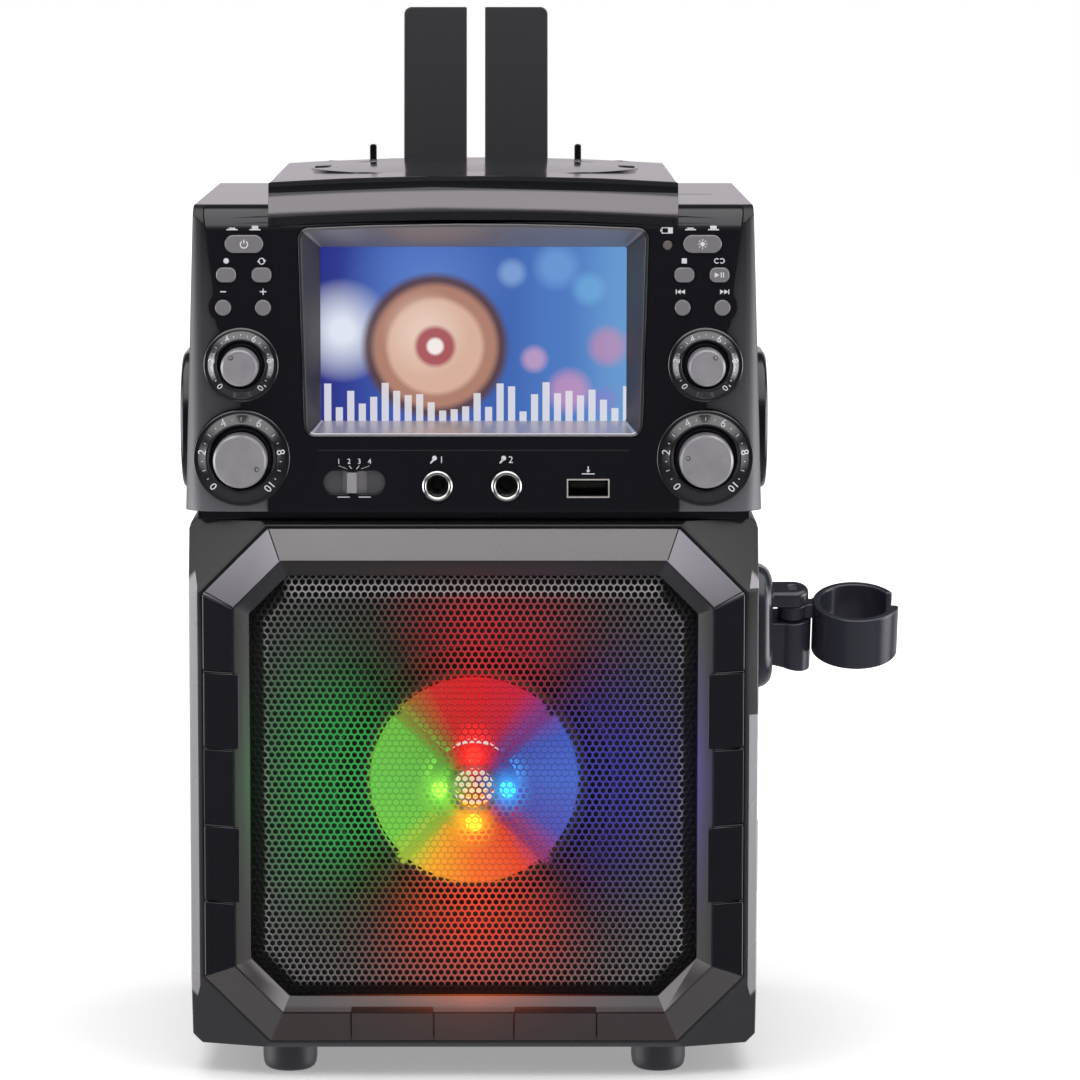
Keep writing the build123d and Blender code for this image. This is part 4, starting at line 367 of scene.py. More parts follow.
# Painted light on the webs by the angle round the loudspeaker: in front of the cone, and outside it.
INNER_TINTS = ((-180, "#64bb46"), (-145, "#6cc040"), (-128, "#b0bc30"), (-115, "#f0a020"), (-90, "#f06a20"),
               (-62, "#e0401e"), (-46, "#90306a"), (-32, "#4a4aa8"), (0, "#4062c0"), (28, "#3a50b0"),
               (47, "#7a2c78"), (62, "#bc1030"), (90, "#cc0e18"), (114, "#c41c1c"), (129, "#8f6224"),
               (143, "#66b43c"), (180, "#64bb46"))
OUTER_TINTS = ((-180, "#279040"), (-154, "#228a3e"), (-138, "#2c5020"), (-125, "#5a3014"), (-110, "#b03418"),
               (-90, "#d83a20"), (-68, "#b83224"), (-50, "#501830"), (-33, "#302068"), (-12, "#302c8a"),
               (12, "#302c8a"), (34, "#38206a"), (50, "#5a1530"), (66, "#981828"), (90, "#b01c24"),
               (108, "#781a1a"), (121, "#352814"), (134, "#1c4c20"), (156, "#218a3a"), (180, "#279040"))


def painted_lamp_halos(tree, place, reach):
    """Painted glow: soft bright spots where the lamps shine straight through."""
    add = partial(add_node, tree)
    total = (0.0, 0.0, 0.0)
    for point, colour in lamp_spots:
        near = add("MapRange", radius_from(tree, place, point), reach, 0.0)
        level = add("Math POWER", near, 1.5)
        tint = add("VectorMath SCALE", {0: linear(colour), "Scale": level})
        total = add("VectorMath ADD", total, tint)
    return total


def hexagon_tile():
    """One cell of the punched sheet: a hexagonal frame with a rounded lip and the hole's wall."""
    verts = []
    faces = []
    for radius, depth in ((PITCH / sqrt(3), 0.0), (HOLE * 1.13, 0.0), (HOLE, 0.0001), (HOLE * 0.97, SHEET)):
        for i in range(6):
            angle = radians(60 * i + 30)
            verts.append((radius * cos(angle), depth, radius * sin(angle)))
    for base in (0, 6, 12):
        for i in range(6):
            j = (i + 1) % 6
            faces.append((base + i, base + 6 + i, base + 6 + j, base + j))
    mesh = bpy.data.meshes.new("hexagon_tile")
    mesh.from_pydata(verts, [], faces)
    return mesh


def punched_sheet(material):
    """Geometry nodes: a staggered field of tiles, cut to the octagon and pressed into a low pan."""
    group = bpy.data.node_groups.new("punched_sheet", "GeometryNodeTree")
    add = partial(add_node, group)
    group.interface.new_socket("Geometry", in_out="INPUT", socket_type="NodeSocketGeometry")
    for name in ("Pitch", "Half width", "Half height", "Middle", "Corner", "Rim depth", "Rise", "Border",
                 "Drop"):
        group.interface.new_socket(name, in_out="INPUT", socket_type="NodeSocketFloat")
    group.interface.new_socket("Tile", in_out="INPUT", socket_type="NodeSocketObject")
    group.interface.new_socket("Geometry", in_out="OUTPUT", socket_type="NodeSocketGeometry")
    given = add("NodeGroupInput", out=None)

    # A grid of points, every second row moved by half a pitch, stood upright.
    across = add("Math MULTIPLY", given["Pitch"], float(COLUMNS - 1))
    upward = add("Math MULTIPLY", given["Pitch"], (ROWS - 1) * sqrt(3) / 2)
    grid = add("GeometryNodeMeshGrid", across, upward, COLUMNS, ROWS)
    odd = add("Math MODULO", add("GeometryNodeInputIndex"), 2.0)
    share = add("Math MULTIPLY_ADD", odd, 0.5, -0.25)
    place = add("GeometryNodeInputPosition")
    parts = add("SeparateXYZ", place, out=None)
    moved = add("Math MULTIPLY_ADD", share, given["Pitch"], parts[0])
    lifted = add("Math ADD", parts[1], given["Middle"])
    upright = add("CombineXYZ", moved, 0.0, lifted)
    points = add("GeometryNodeSetPosition", {"Geometry": grid, "Position": upright})

    # Room inwards from the octagon's sides, ends and corner cuts.
    folded = add("Math ABSOLUTE", parts[0])
    side = add("Math SUBTRACT", given["Half width"], folded)
    height = add("Math SUBTRACT", parts[2], given["Middle"])
    drop = add("Math ABSOLUTE", height)
    end = add("Math SUBTRACT", given["Half height"], drop)
    both = add("Math ADD", side, end)
    past = add("Math SUBTRACT", both, given["Corner"])
    cut = add("Math MULTIPLY", past, DIAGONAL_SHARE)
    square = add("Math MINIMUM", side, end)
    least = add("Math MINIMUM", square, cut)
    outside = add("FunctionNodeCompare LESS_THAN", least, -0.0012, data_type="FLOAT")
    kept = add("GeometryNodeDeleteGeometry", points, outside, domain="POINT")
    tile = add("GeometryNodeObjectInfo", {"Object": given["Tile"]}, out="Geometry")
    cells = add("GeometryNodeInstanceOnPoints", {"Points": kept, "Instance": tile})
    solid = add("GeometryNodeRealizeInstances", cells)
    welded = add("GeometryNodeMergeByDistance", {"Geometry": solid, "Distance": 0.00002})

    # The pan: the border slopes from the rim to the flat middle, which sits a little low.
    way = add("Math SIGN", height)
    ends = add("Math MULTIPLY_ADD", way, given["Drop"], given["Border"])
    by_end = add("Math DIVIDE", end, ends)
    close = add("Math MINIMUM", side, cut)
    by_side = add("Math DIVIDE", close, given["Border"])
    slope = add("Math MINIMUM", by_end, by_side)
    eased = add("MapRange", slope, interpolation_type="SMOOTHSTEP")
    straight = add("MapRange", slope)
    blended = add("Mix", {"Factor": 0.35, 2: straight, 3: eased})
    forward = add("Math MULTIPLY", blended, given["Rise"])
    depth = add("Math SUBTRACT", given["Rim depth"], forward)
    press = add("CombineXYZ", 0.0, depth, 0.0)
    pan = add("GeometryNodeSetPosition", {"Geometry": welded, "Offset": press})
    done = add("GeometryNodeSetMaterial", {"Geometry": pan, "Material": material})
    add("NodeGroupOutput", done, out=None)
    return group


def socket_id(modifier, name):
    """Identifier of a named input of a geometry-nodes modifier."""
    for item in modifier.node_group.interface.items_tree:
        if item.item_type == "SOCKET" and item.name == name and item.in_out == "INPUT":
            return item.identifier
    raise KeyError(name)


lamp_low, lamp_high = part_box("light_lamps")
lamp_reach = (lamp_high.x - lamp_low.x) / 2 - LAMP_RADIUS
lamp_x = (lamp_low.x + lamp_high.x) / 2
lamp_z = (lamp_low.z + lamp_high.z) / 2
lamps = (("above", 0, 1, "#ff2a1c"), ("right", 1, 0, "#30b0ff"), ("below", 0, -1, "#ffc828"),
         ("left", -1, 0, "#86d83c"))
lamp_spots = []
for name, side, up, colour in lamps:
    lamp_spots.append(((lamp_x + side * lamp_reach, 0, lamp_z + up * lamp_reach), colour))

# Powder-coated steel, satin black; painted shade on the flanks, painted light on the webs, and the lamps'
# glow painted on.
grille_low, grille_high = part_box("speaker_grille")
powder_coat = finish_material("powder_coated_steel", "#8c8889", "#7e7a7b", 0.3, bump=0.05, grain=2500.0,
                              metallic=0.55)
tree, add = nodes_of(powder_coat)
place, side, parts = axes(tree)
# Painted shade: the pan's flanks are nearly black, all but the top one.
flank = add("MapRange", parts[1], grille_high.y - FLANK_DEPTH - 0.0012, grille_high.y - FLANK_DEPTH)
top_rows = add("MapRange", parts[2], grille_high.z - 0.0095, grille_high.z - 0.0085)
middle_columns = add("MapRange", side, 0.0600, 0.0585)
top_flank = add("Math MULTIPLY", top_rows, middle_columns)
shaded_flank = add("Math SUBTRACT", flank, top_flank, use_clamp=True)
painted_flank_shade = add("MapRange", shaded_flank, 0.0, 1.0, 1.0, 0.10)
# Painted light: the webs turn grey away from the lamps and lighter low down.
away = radius_from(tree, place, spot)
painted_web_light = add("MapRange", away, 0.048, 0.080, 0.08, 0.58)
lower = add("MapRange", parts[2], 0.145, 0.040, 1.0, 1.5)
painted_field_light = add("Math MULTIPLY", painted_web_light, lower)
multiplied(tree, add("Mix", {"Factor": flank, 2: painted_field_light, 3: painted_flank_shade}))
# Painted glow of the lamps' light, in their colours by angle, with halos where they shine through.
scaled = add("Math DIVIDE", away, 0.1)
inner = add("MapRange", away, CONE_RADIUS, CONE_RADIUS - 0.0012)
outer_fade = ramp(tree, scaled, [(0.0, 1.0), (0.40, 1.0), (0.50, 0.92), (0.60, 0.50), (0.72, 0.16),
                                 (0.86, 0.03), (1.0, 0.0)])
inner_fade = ramp(tree, scaled, [(0.0, 0.25), (0.08, 0.30), (0.10, 0.55), (0.14, 0.60), (0.34, 0.72)])
outer_light = add("VectorMath MULTIPLY", angle_tint(tree, place, spot, OUTER_TINTS), outer_fade)
inner_light = add("VectorMath MULTIPLY", angle_tint(tree, place, spot, INNER_TINTS), inner_fade)
base_light = add("Mix", {"Factor": inner, 4: outer_light, 5: inner_light}, out=1, data_type="VECTOR")
lit = add("VectorMath ADD", base_light, painted_lamp_halos(tree, place, 0.0092))
flat_share = add("MapRange", flank, 0.0, 1.0, 1.0, 0.05)
give_light(tree, add("VectorMath SCALE", {0: lit, "Scale": flat_share}), 1.15)

tile_object = bpy.data.objects.new("tile", hexagon_tile())
grille = bpy.data.objects.new("grille_sheet", bpy.data.meshes.new("grille_sheet"))
for made in (tile_object, grille):
    bpy.context.scene.collection.objects.link(made)
punch = grille.modifiers.new("punch", "NODES")
punch.node_group = punched_sheet(powder_coat)
for name, value in (
    ("Pitch", PITCH),
    ("Half width", grille_high.x - FLANGE),
    ("Half height", (grille_high.z - grille_low.z) / 2 - FLANGE),
    ("Middle", (grille_low.z + grille_high.z) / 2),
    ("Corner", 0.0118),
    ("Rim depth", grille_high.y - 0.0008),
    ("Rise", 0.0042),
    ("Border", 0.0062),
    ("Drop", 0.0013),
    ("Tile", tile_object),
):
    punch[socket_id(punch, name)] = value
plain_mesh(grille)
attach(grille, "case")
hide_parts("speaker_grille")
bpy.data.objects.remove(tile_object)

# ---------- loudspeaker and lamps
# Four-inch loudspeaker: pressed steel basket, ferrite magnet, rubber surround and a paper cone
# with the light of the lamp board in front of it painted on in four colours. A ring at its neck has a painted
# glow.
BACKWARD = (0, 1, 0)
CONE_DEPTH = 0.0250
RING_DEPTH = 0.0240


def paint(material, *nodes):
    """CAD pieces that only need their finish."""
    for node in nodes:
        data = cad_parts[node].data
        data.materials.clear()
        data.materials.append(material)


def lit_paper(name, strength, hub):
    """Dark paper or plastic with the lamps' light painted on as a glow in their colours; hub is the painted
    glow near the axis.
    """
    material = finish_material(name, "#303032", "#262628", 0.7, bump=0.4, grain=1800.0)
    tree, add = nodes_of(material)
    place = add("TexCoord", out="Object")
    centre = (0.0, 0.0, speaker_z)
    scaled = add("Math DIVIDE", radius_from(tree, place, centre), 0.04)
    rings = ramp(tree, scaled, [(0.0, 0.1), (0.19, 0.1), (0.225, 1.0), (0.27, 1.0), (0.30, 0.8), (0.6, 0.95),
                                (0.82, 1.0), (0.85, 0.02), (1.0, 0.0)])
    dome = ramp(tree, scaled, [(0.0, hub), (0.17, hub), (0.21, 0.0)])
    flood = add("VectorMath MULTIPLY", angle_tint(tree, place, centre, INNER_TINTS), rings)
    for light in (dome, painted_lamp_halos(tree, place, 0.0080)):
        flood = add("VectorMath ADD", flood, light)
    give_light(tree, flood, strength)
    return material


def lathe(name, profile, centre, axis, body, material, segments=96, node=None):
    """A turned piece: (radius, height) points round an axis through centre; it may stand for a CAD node."""
    work = bmesh.new()
    turns = [2 * pi * i / segments for i in range(segments)]
    rings = []
    for radius, height in profile:
        rings.append([work.verts.new((radius * cos(turn), radius * sin(turn), height)) for turn in turns])
    for a, b in zip(rings, rings[1:]):
        for i in range(segments):
            j = (i + 1) % segments
            work.faces.new((a[i], a[j], b[j], b[i]))
    bmesh.ops.remove_doubles(work, verts=work.verts, dist=0.000002)
    mesh = bpy.data.meshes.new(name)
    work.to_mesh(mesh)
    work.free()
    turn = Vector((0, 0, 1)).rotation_difference(Vector(axis)).to_matrix().to_4x4()
    mesh.transform(Matrix.Translation(centre) @ turn)
    piece = new_piece(name, mesh, body, material)
    if node:
        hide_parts(node)
    return shaded(piece)


# Zinc-plated steel: pale grey metal with broad, soft highlights.
zinc_plated = finish_material("zinc_plated_steel", "#a9a9ac", "#97979b", 0.3, metallic=0.95)
# Sintered ferrite: dull charcoal with a dry, granular skin.
ferrite = finish_material("sintered_ferrite", "#2c2c2e", "#242426", 0.7, bump=0.3)
# Moulded rubber: nearly black, with a soft highlight round the roll.
rubber = finish_material("moulded_rubber", "#1a1a1b", "#141415", 0.42, bump=0.1)
# Felted paper: dull and fibrous, with the lamps' light painted on as a glow and a pale painted glow at the
# hub.
cone_paper = lit_paper("felted_paper", 1.15, (0.62, 0.50, 0.36))
# Matt ABS of the lamps' carrier: dull, with the lamps' light painted on as a glow.
lamp_board = lit_paper("matt_abs", 0.95, (0.10, 0.09, 0.08))
paint(zinc_plated, "speaker_basket")
paint(ferrite, "speaker_magnet")
paint(rubber, "speaker_surround")
paint(lamp_board, "light_module")
lathe("speaker_cone_look", [
    (0.0, -0.0050), (0.0030, -0.0047), (0.0062, -0.0036), (0.0086, -0.0016), (0.0092, 0.0),
    (0.0100, -0.0012), (0.0125, -0.0029), (0.0180, -0.0068), (0.0250, -0.0118), (0.0310, -0.0166),
    (0.0331, -0.0179), (0.0331, -0.0173), (0.0250, -0.0108), (0.0104, 0.0008), (0.0104, 0.0138),
    (0.0096, 0.0138), (0.0096, 0.0)], (0, speaker_low.y + CONE_DEPTH, speaker_z), BACKWARD, "cone",
    cone_paper, node="speaker_cone")
for name, side, up, colour in lamps:
    # Clear epoxy: smooth, and filled with the lamp's own light.
    lamp = finish_material("clear_epoxy_" + name, colour, colour, 0.15)
    give_light(lamp.node_tree, (*linear(colour), 1), 2.5)
    lathe("lamp_" + name + "_look", [
        (0.0, -0.0045), (0.0009, -0.0043), (0.0017, -0.0037), (0.0023, -0.0029), (LAMP_RADIUS, -0.0020),
        (LAMP_RADIUS, 0.0), (0.0, 0.0)], (lamp_x + side * lamp_reach, lamp_high.y, lamp_z + up * lamp_reach),
        BACKWARD, "case", lamp, 32, "light_lamps")
# Nickel plating: warm and pale, with the lamps' light painted on as a glow all round.
nickel = finish_material("nickel_plated_ring", "#d8d2cc", "#cbc5c0", 0.25, metallic=0.6)
give_light(nickel.node_tree, (0.9, 0.85, 0.78, 1), 0.55)
lathe("cone_neck_ring", [
    (0.0088, 0.0), (0.0089, -0.0008), (0.0094, -0.0012), (0.0101, -0.0011), (0.0106, -0.0006),
    (0.0107, 0.0004)], (0, speaker_low.y + RING_DEPTH, speaker_z), BACKWARD, "cone", nickel, 72)

# ---------- feet
# Feet: four round feet of moulded rubber with a rolled lower edge, pushed into the cabinet's floor.
FOOT_RADIUS = 0.0087

# Hard moulded rubber: charcoal and dull, with no sharp highlight.
foot_rubber = finish_material("hard_rubber", "#454249", "#3b3940", 0.48)
feet_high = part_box("feet")[1]
for number, (x, y) in enumerate(((-1, -1), (-1, 1), (1, -1), (1, 1))):
    lathe("foot_%d" % number, [
        (0.0, 0.0), (0.0058, 0.0), (0.0070, 0.0002), (0.0079, 0.0009), (0.0084, 0.0019),
        (FOOT_RADIUS, 0.0042), (0.0086, 0.0099), (0.0, 0.0099)],
        (x * (feet_high.x - FOOT_RADIUS), y * (feet_high.y - FOOT_RADIUS), 0), (0, 0, 1), "case",
        foot_rubber, 64, "feet")

# ---------- rear cover and inside
# Rear cover of the cabinet's own plastic with vents and three sockets, held by screws. The
# amplifier board and the battery pack stand behind it.

# Solder mask on glass fibre: deep green, smooth.
board_green = finish_material("solder_mask", "#1d5136", "#17442c", 0.4)
# Shrink wrap round the cells: blue, tight and a little shiny.
wrap_blue = finish_material("shrink_wrap", "#2c4474", "#253a66", 0.3)
# Zinc-plated screws: a little duller and darker than plated sheet.
screw_zinc = finish_material("zinc_plated_screws", "#8d8d8c", "#7d7d7d", 0.32, metallic=0.9)
# Plain moulded ABS, as it leaves a smooth tool: dark grey and satin.
plain_abs = finish_material("plain_moulded_abs", "#2a2a2c", "#232325", 0.45, bump=0.1)
refined("rear_cover", "case", spark_abs, 0.0004)
refined("rear_sockets", "case", plain_abs, 0.0002)
refined("case_screws", "case", screw_zinc, 0.0001, 1)
paint(board_green, "main_board", "control_board")
paint(wrap_blue, "battery_pack")

# ---------- head housings
# Head: satin dark grey cheeks wrap round to the sides and meet the rear housing behind a parting
# line; long screws hold both together. Oval gloss covers are let into the lower sides.

# Polished ABS: blue-black, with sharp reflections.
polished_black = finish_material("polished_abs", "#15151b", "#121218", 0.13, spread=0.04, coat=0.5)
# Satin ABS with painted light and shade: grey low on the cheeks, falling to nearly black above.
satin_abs = finish_material("satin_abs", "#66666c", "#5d5d63", 0.32, bump=0.04, grain=1800.0)
tree, add = nodes_of(satin_abs)
head_low, head_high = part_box("head_front_housing")
height = axes(tree)[2][2]
share = add("MapRange", height, head_low.z, head_high.z)
# Painted shade: darker towards the top of the head.
multiplied(tree, ramp(tree, share, [(0.0, 0.88), (0.35, 0.48), (0.7, 0.28), (1.0, 0.08)]))
refined("head_base", "case", polished_black, 0.0004)
refined("head_front_housing", "case", satin_abs, 0.0004, 3)
refined("head_rear_housing", "case", satin_abs, 0.0004, 2)
refined("side_covers", "case", armour_black, 0.0002)

# ---------- top cover, lid and disc deck
# Gloss black top cover with the raised plateau, the hinged disc lid on it and the disc deck below:
# well, turntable, pickup on two rods, feed screw and motors.
ARCH = 1.01224
DISH = 1.08874
DISH_RISE = 0.0008
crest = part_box("control_panel")[1].z


def true_normals(piece, surfaces):
    """Exact normals for the faces that lie on a round surface, given as axis, centre and radius."""
    mesh = piece.data
    normals = [corner.vector.copy() for corner in mesh.corner_normals]
    for spread, centre, radius in surfaces:
        outward = [spread * (vertex.co - centre) for vertex in mesh.vertices]
        near = [abs(arm.length - radius) < 0.0001 for arm in outward]
        for polygon in mesh.polygons:
            arm = spread * (polygon.center - centre)
            if all(near[i] for i in polygon.vertices) and polygon.normal.angle(arm) < radians(3.0):
                for corner, i in zip(polygon.loop_indices, polygon.vertices):
                    normals[corner] = outward[i].normalized()
    mesh.normals_split_custom_set(normals)


# Satin ABS of the disc deck: dark grey and even, with a soft highlight round the well's rim.
deck_abs = finish_material("deck_satin_abs", "#2b2b2e", "#242427", 0.4, bump=0.05)
refined("top_cover", "case", polished_black, 0.00035, 3)
true_normals(refined("disc_lid", "lid", polished_black, 0.0003, 3), [
    (Vector((1, 0, 1)), Vector((0, 0, crest - ARCH)), ARCH),
    (Vector((1, 1, 1)), Vector((0, 0, crest + DISH_RISE - DISH)), DISH),
])
paint(deck_abs, "disc_clamp", "turntable", "optical_pickup")
refined("disc_well", "case", deck_abs, 0.0003)
paint(screw_zinc, "deck_plate", "deck_motors", "pot_bodies")
paint(zinc_plated, "guide_rods", "feed_screw", "mic_clip_pin")

# ---------- control panel
# Gloss black control panel with the arched hood in front of the lid, the sunken graphite bezel of
# the screen, and the raised strip with the sockets and the function slider.
HOOD_HALF = 0.0637
LIP_DEPTH = 0.0031
# The slider's slot: how far its middle lies beside the tab, half of its straight run, and its radius.
SLOT_SHIFT = 0.000725
SLOT_RUN = 0.0060
SLOT_RADIUS = 0.0037
# The bezel's inner opening: half width, and heights of its lower and upper edges.
BEZEL_HALF = 0.0475
BEZEL_LOW = 0.2098
BEZEL_HIGH = 0.2637

# Polished ABS with a painted sheen: a metallic grey brow under the hood's lip stands in for a mirrored grey
# band of light.
panel_abs = finish_material("polished_panel_abs", "#14141b", "#111117", 0.16, spread=0.05, coat=0.35)
tree, add = nodes_of(panel_abs)
place, side = axes(tree)[:2]
hood_axis = Vector((0.0, 0.0, crest - ARCH))
below = add("Math SUBTRACT", ARCH, radius_from(tree, place, hood_axis))
under_lip = add("MapRange", below, 0.0039, 0.0046)
over_roll = add("MapRange", below, 0.0108, 0.0094)
hood_span = add("MapRange", side, HOOD_HALF, HOOD_HALF - 0.0003)
brow = add("Math MULTIPLY", under_lip, over_roll)
painted_brow_sheen = add("Math MULTIPLY", brow, hood_span)
# Painted sheen: the brow is made metallic and grey.
painted_brow_metallic = add("Math MULTIPLY", painted_brow_sheen, 0.85)
tree.links.new(painted_brow_metallic, tree.nodes["Principled BSDF"].inputs["Metallic"])
recolour(tree, painted_brow_sheen, "#716c70")
# The slider's recess is a little greyer: a slot with round ends, longer than the tab's own box.
slider_low, slider_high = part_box("function_slider")
slot_middle = (slider_low + slider_high) / 2 + Vector((SLOT_SHIFT, 0, 0))
offset = add("VectorMath SUBTRACT", place, slot_middle)
apart = add("SeparateXYZ", offset, out=None)
run = add("Math ABSOLUTE", apart[0])
past_run = add("Math SUBTRACT", run, SLOT_RUN, use_clamp=True)
corner = add("CombineXYZ", past_run, 0.0, apart[2])
reach = add("VectorMath LENGTH", corner, out="Value")
recolour(tree, add("MapRange", reach, SLOT_RADIUS, SLOT_RADIUS - 0.0002), "#4b4a4e")

# Graphite paint on the bezel: metallic and satin, with painted shade on the side slopes and the upper part,
# so that it is lighter low down.
graphite = finish_material("graphite_paint", "#cac6cb", "#bfbbc0", 0.3, bump=0.03, metallic=0.7)
tree, add = nodes_of(graphite)
side, parts = axes(tree)[1:]
past_side = add("Math SUBTRACT", side, BEZEL_HALF)
past_low = add("Math SUBTRACT", BEZEL_LOW, parts[2])
past_high = add("Math SUBTRACT", parts[2], BEZEL_HIGH)
past_end = add("Math MAXIMUM", past_low, past_high)
aside = add("Math SUBTRACT", past_side, past_end)
flank_side = add("MapRange", aside, -0.0002, 0.0002)
# Painted shade: nearly black side slopes, and darker towards the top.
painted_top_shade = add("MapRange", past_high, -0.02, -0.01, 1.0, 0.46)
multiplied(tree, add("Mix", {"Factor": flank_side, 2: painted_top_shade, 3: 0.13}))

# Painted shade on the hood's lip: a darker, duller copy of the panel's black ABS.
lip_abs = finish_material("shaded_lip_abs", "#0c0c10", "#0a0a0d", 0.55, specular=0.12)
panel_look = refined("control_panel", "case", panel_abs, 0.00025, 2)
panel_look.data.materials.append(lip_abs)
for polygon in panel_look.data.polygons:
    arm = polygon.center - hood_axis
    if ARCH - arm.xz.length < LIP_DEPTH and abs(arm.x) < HOOD_HALF:
        polygon.material_index = 1
refined("screen_bezel", "case", graphite, 0.0003, 3)

# ---------- screen
# Screen: clear acrylic window, held by the bezel, over a backlit colour display. The picture is a
# plain pattern of stage lights, a disc and level bars.
BAR_PITCH = 0.0036

# Clear acrylic: nearly invisible, with a faint mirror of what stands around it.
acrylic = bpy.data.materials.new("clear_acrylic")
acrylic.use_nodes = True
tree, add = nodes_of(acrylic)
tree.nodes.remove(tree.nodes["Principled BSDF"])
clear = add("BsdfTransparent", (0.97, 0.97, 0.98, 1))
mirror = add("BsdfGlossy", {"Roughness": 0.05})
mixed = add("MixShader", 0.03, clear, mirror)
tree.links.new(mixed, tree.nodes["Material Output"].inputs[0])
paint(acrylic, "screen_lens")

# Backlit liquid crystal: black by itself, with the picture as its own light on the front face only.
lcd_low, lcd_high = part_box("lcd_module")
lcd_front = (lcd_low.y - lcd_high.y) / 2
display = bpy.data.materials.new("backlit_display")
display.use_nodes = True
tree, add = nodes_of(display)
place = add("TexCoord", out="Object")
local = add("VectorMath SUBTRACT", place, (lcd_low + lcd_high) / 2)
parts = add("SeparateXYZ", local, out=None)
across = add("MapRange", parts[0], -0.048, 0.048)
picture = ramp(tree, across, [(0.0, linear("#262f8c")), (0.3, linear("#3c5fb8")), (0.55, linear("#3a63b4")),
                              (0.78, linear("#4c7cc6")), (1.0, linear("#6aa0d6"))], "EASE")
for x, z, radius, edge, colour, weight in (
    (-0.041, 0.001, 0.010, 0.0065, "#eef4ff", 0.95),
    (-0.014, 0.016, 0.016, 0.0120, "#6a93dc", 0.55),
    (0.026, 0.021, 0.006, 0.0022, "#7fb2e8", 0.55),
    (0.036, 0.014, 0.0045, 0.0016, "#7cc0ee", 0.5),
    (0.012, 0.019, 0.0038, 0.0014, "#a4c8f4", 0.5),
    (0.042, -0.004, 0.0055, 0.0018, "#d98fae", 0.55),
    (0.030, -0.018, 0.0060, 0.0020, "#e3a0c4", 0.6),
    (0.019, -0.008, 0.0036, 0.0013, "#f0b8d0", 0.55),
    (0.041, -0.021, 0.0040, 0.0014, "#8f7fd0", 0.5),
    (-0.012, -0.004, 0.0225, 0.0012, "#5a3c36", 0.92),
    (-0.012, -0.004, 0.0195, 0.0010, "#b98672", 0.95),
    (-0.012, -0.004, 0.0150, 0.0009, "#e3b9a2", 0.95),
    (-0.015, 0.000, 0.0090, 0.0050, "#f6dccb", 0.7),
    (-0.012, -0.004, 0.0062, 0.0008, "#a8404e", 0.9),
    (-0.012, -0.004, 0.0026, 0.0005, "#fff4ee", 1.0),
):
    away = radius_from(tree, local, (x, 0, z))
    disc = add("MapRange", away, radius + edge, radius - edge, 0.0, weight)
    picture = over(tree, picture, disc, colour)
bar_cell = add("Math DIVIDE", parts[0], BAR_PITCH)
bar_number = add("Math FLOOR", bar_cell)
bar_height = add("TexWhiteNoise", {"W": bar_number}, out="Value", noise_dimensions="1D")
bar_top = add("Math MULTIPLY_ADD", bar_height, 0.010, -0.0245)
bar_in = add("Math LESS_THAN", parts[2], bar_top)
bar_share = add("Math FRACT", bar_cell)
bar_body = add("Math LESS_THAN", bar_share, 0.62)
bar_mask = add("Math MULTIPLY", bar_in, bar_body)
bar_soft = add("Math MULTIPLY", bar_mask, 0.8)
picture = over(tree, picture, bar_soft, "#f2f0f4")
tree.nodes["Principled BSDF"].inputs["Base Color"].default_value = (0.01, 0.01, 0.012, 1)
tree.nodes["Principled BSDF"].inputs["Roughness"].default_value = 0.4
give_light(tree, picture, add("MapRange", parts[1], lcd_front + 0.0004, lcd_front + 0.0008, 1.0, 0.0))
paint(display, "lcd_module")

# ---------- dials
# Dials: gloss black rings pressed on the panel with a printed scale, and satin silver knobs with a
# bright chamfer, a spun face and one dimple. Each knob is pushed on a 6 mm shaft.
SHAFT_LENGTH = 0.0135
RING_RISE = 0.00235
LARGE_RING = 0.0150
SMALL_RING = 0.0116
# Where the dimple lies, as a share of the knob's radius.
DIMPLE_SHARE = 0.70


def ring_profile(ring, knob):
    """Section of a dial ring, from the knob's recess outwards: radius and height over the panel."""
    return [(knob + 0.0010, -0.00005), (knob + 0.0010, 0.0003), (knob + 0.0014, 0.0015),
            (knob + 0.0019, 0.0021), (knob + 0.0024, RING_RISE), (knob + 0.0029, 0.0022),
            (ring - 0.0015, 0.00075), (ring - 0.0008, 0.0006), (ring - 0.0002, 0.0005), (ring, 0.0003),
            (ring, -0.00005)]


# Silver paint on ABS, lightly brushed: pale and satin, with fine streaks of two tones.
knob_silver = finish_material("brushed_silver_paint", "#bab6bb", "#96939a", 0.3, metallic=0.45, bump=0.06,
                              grain=3000.0, patch=160.0)
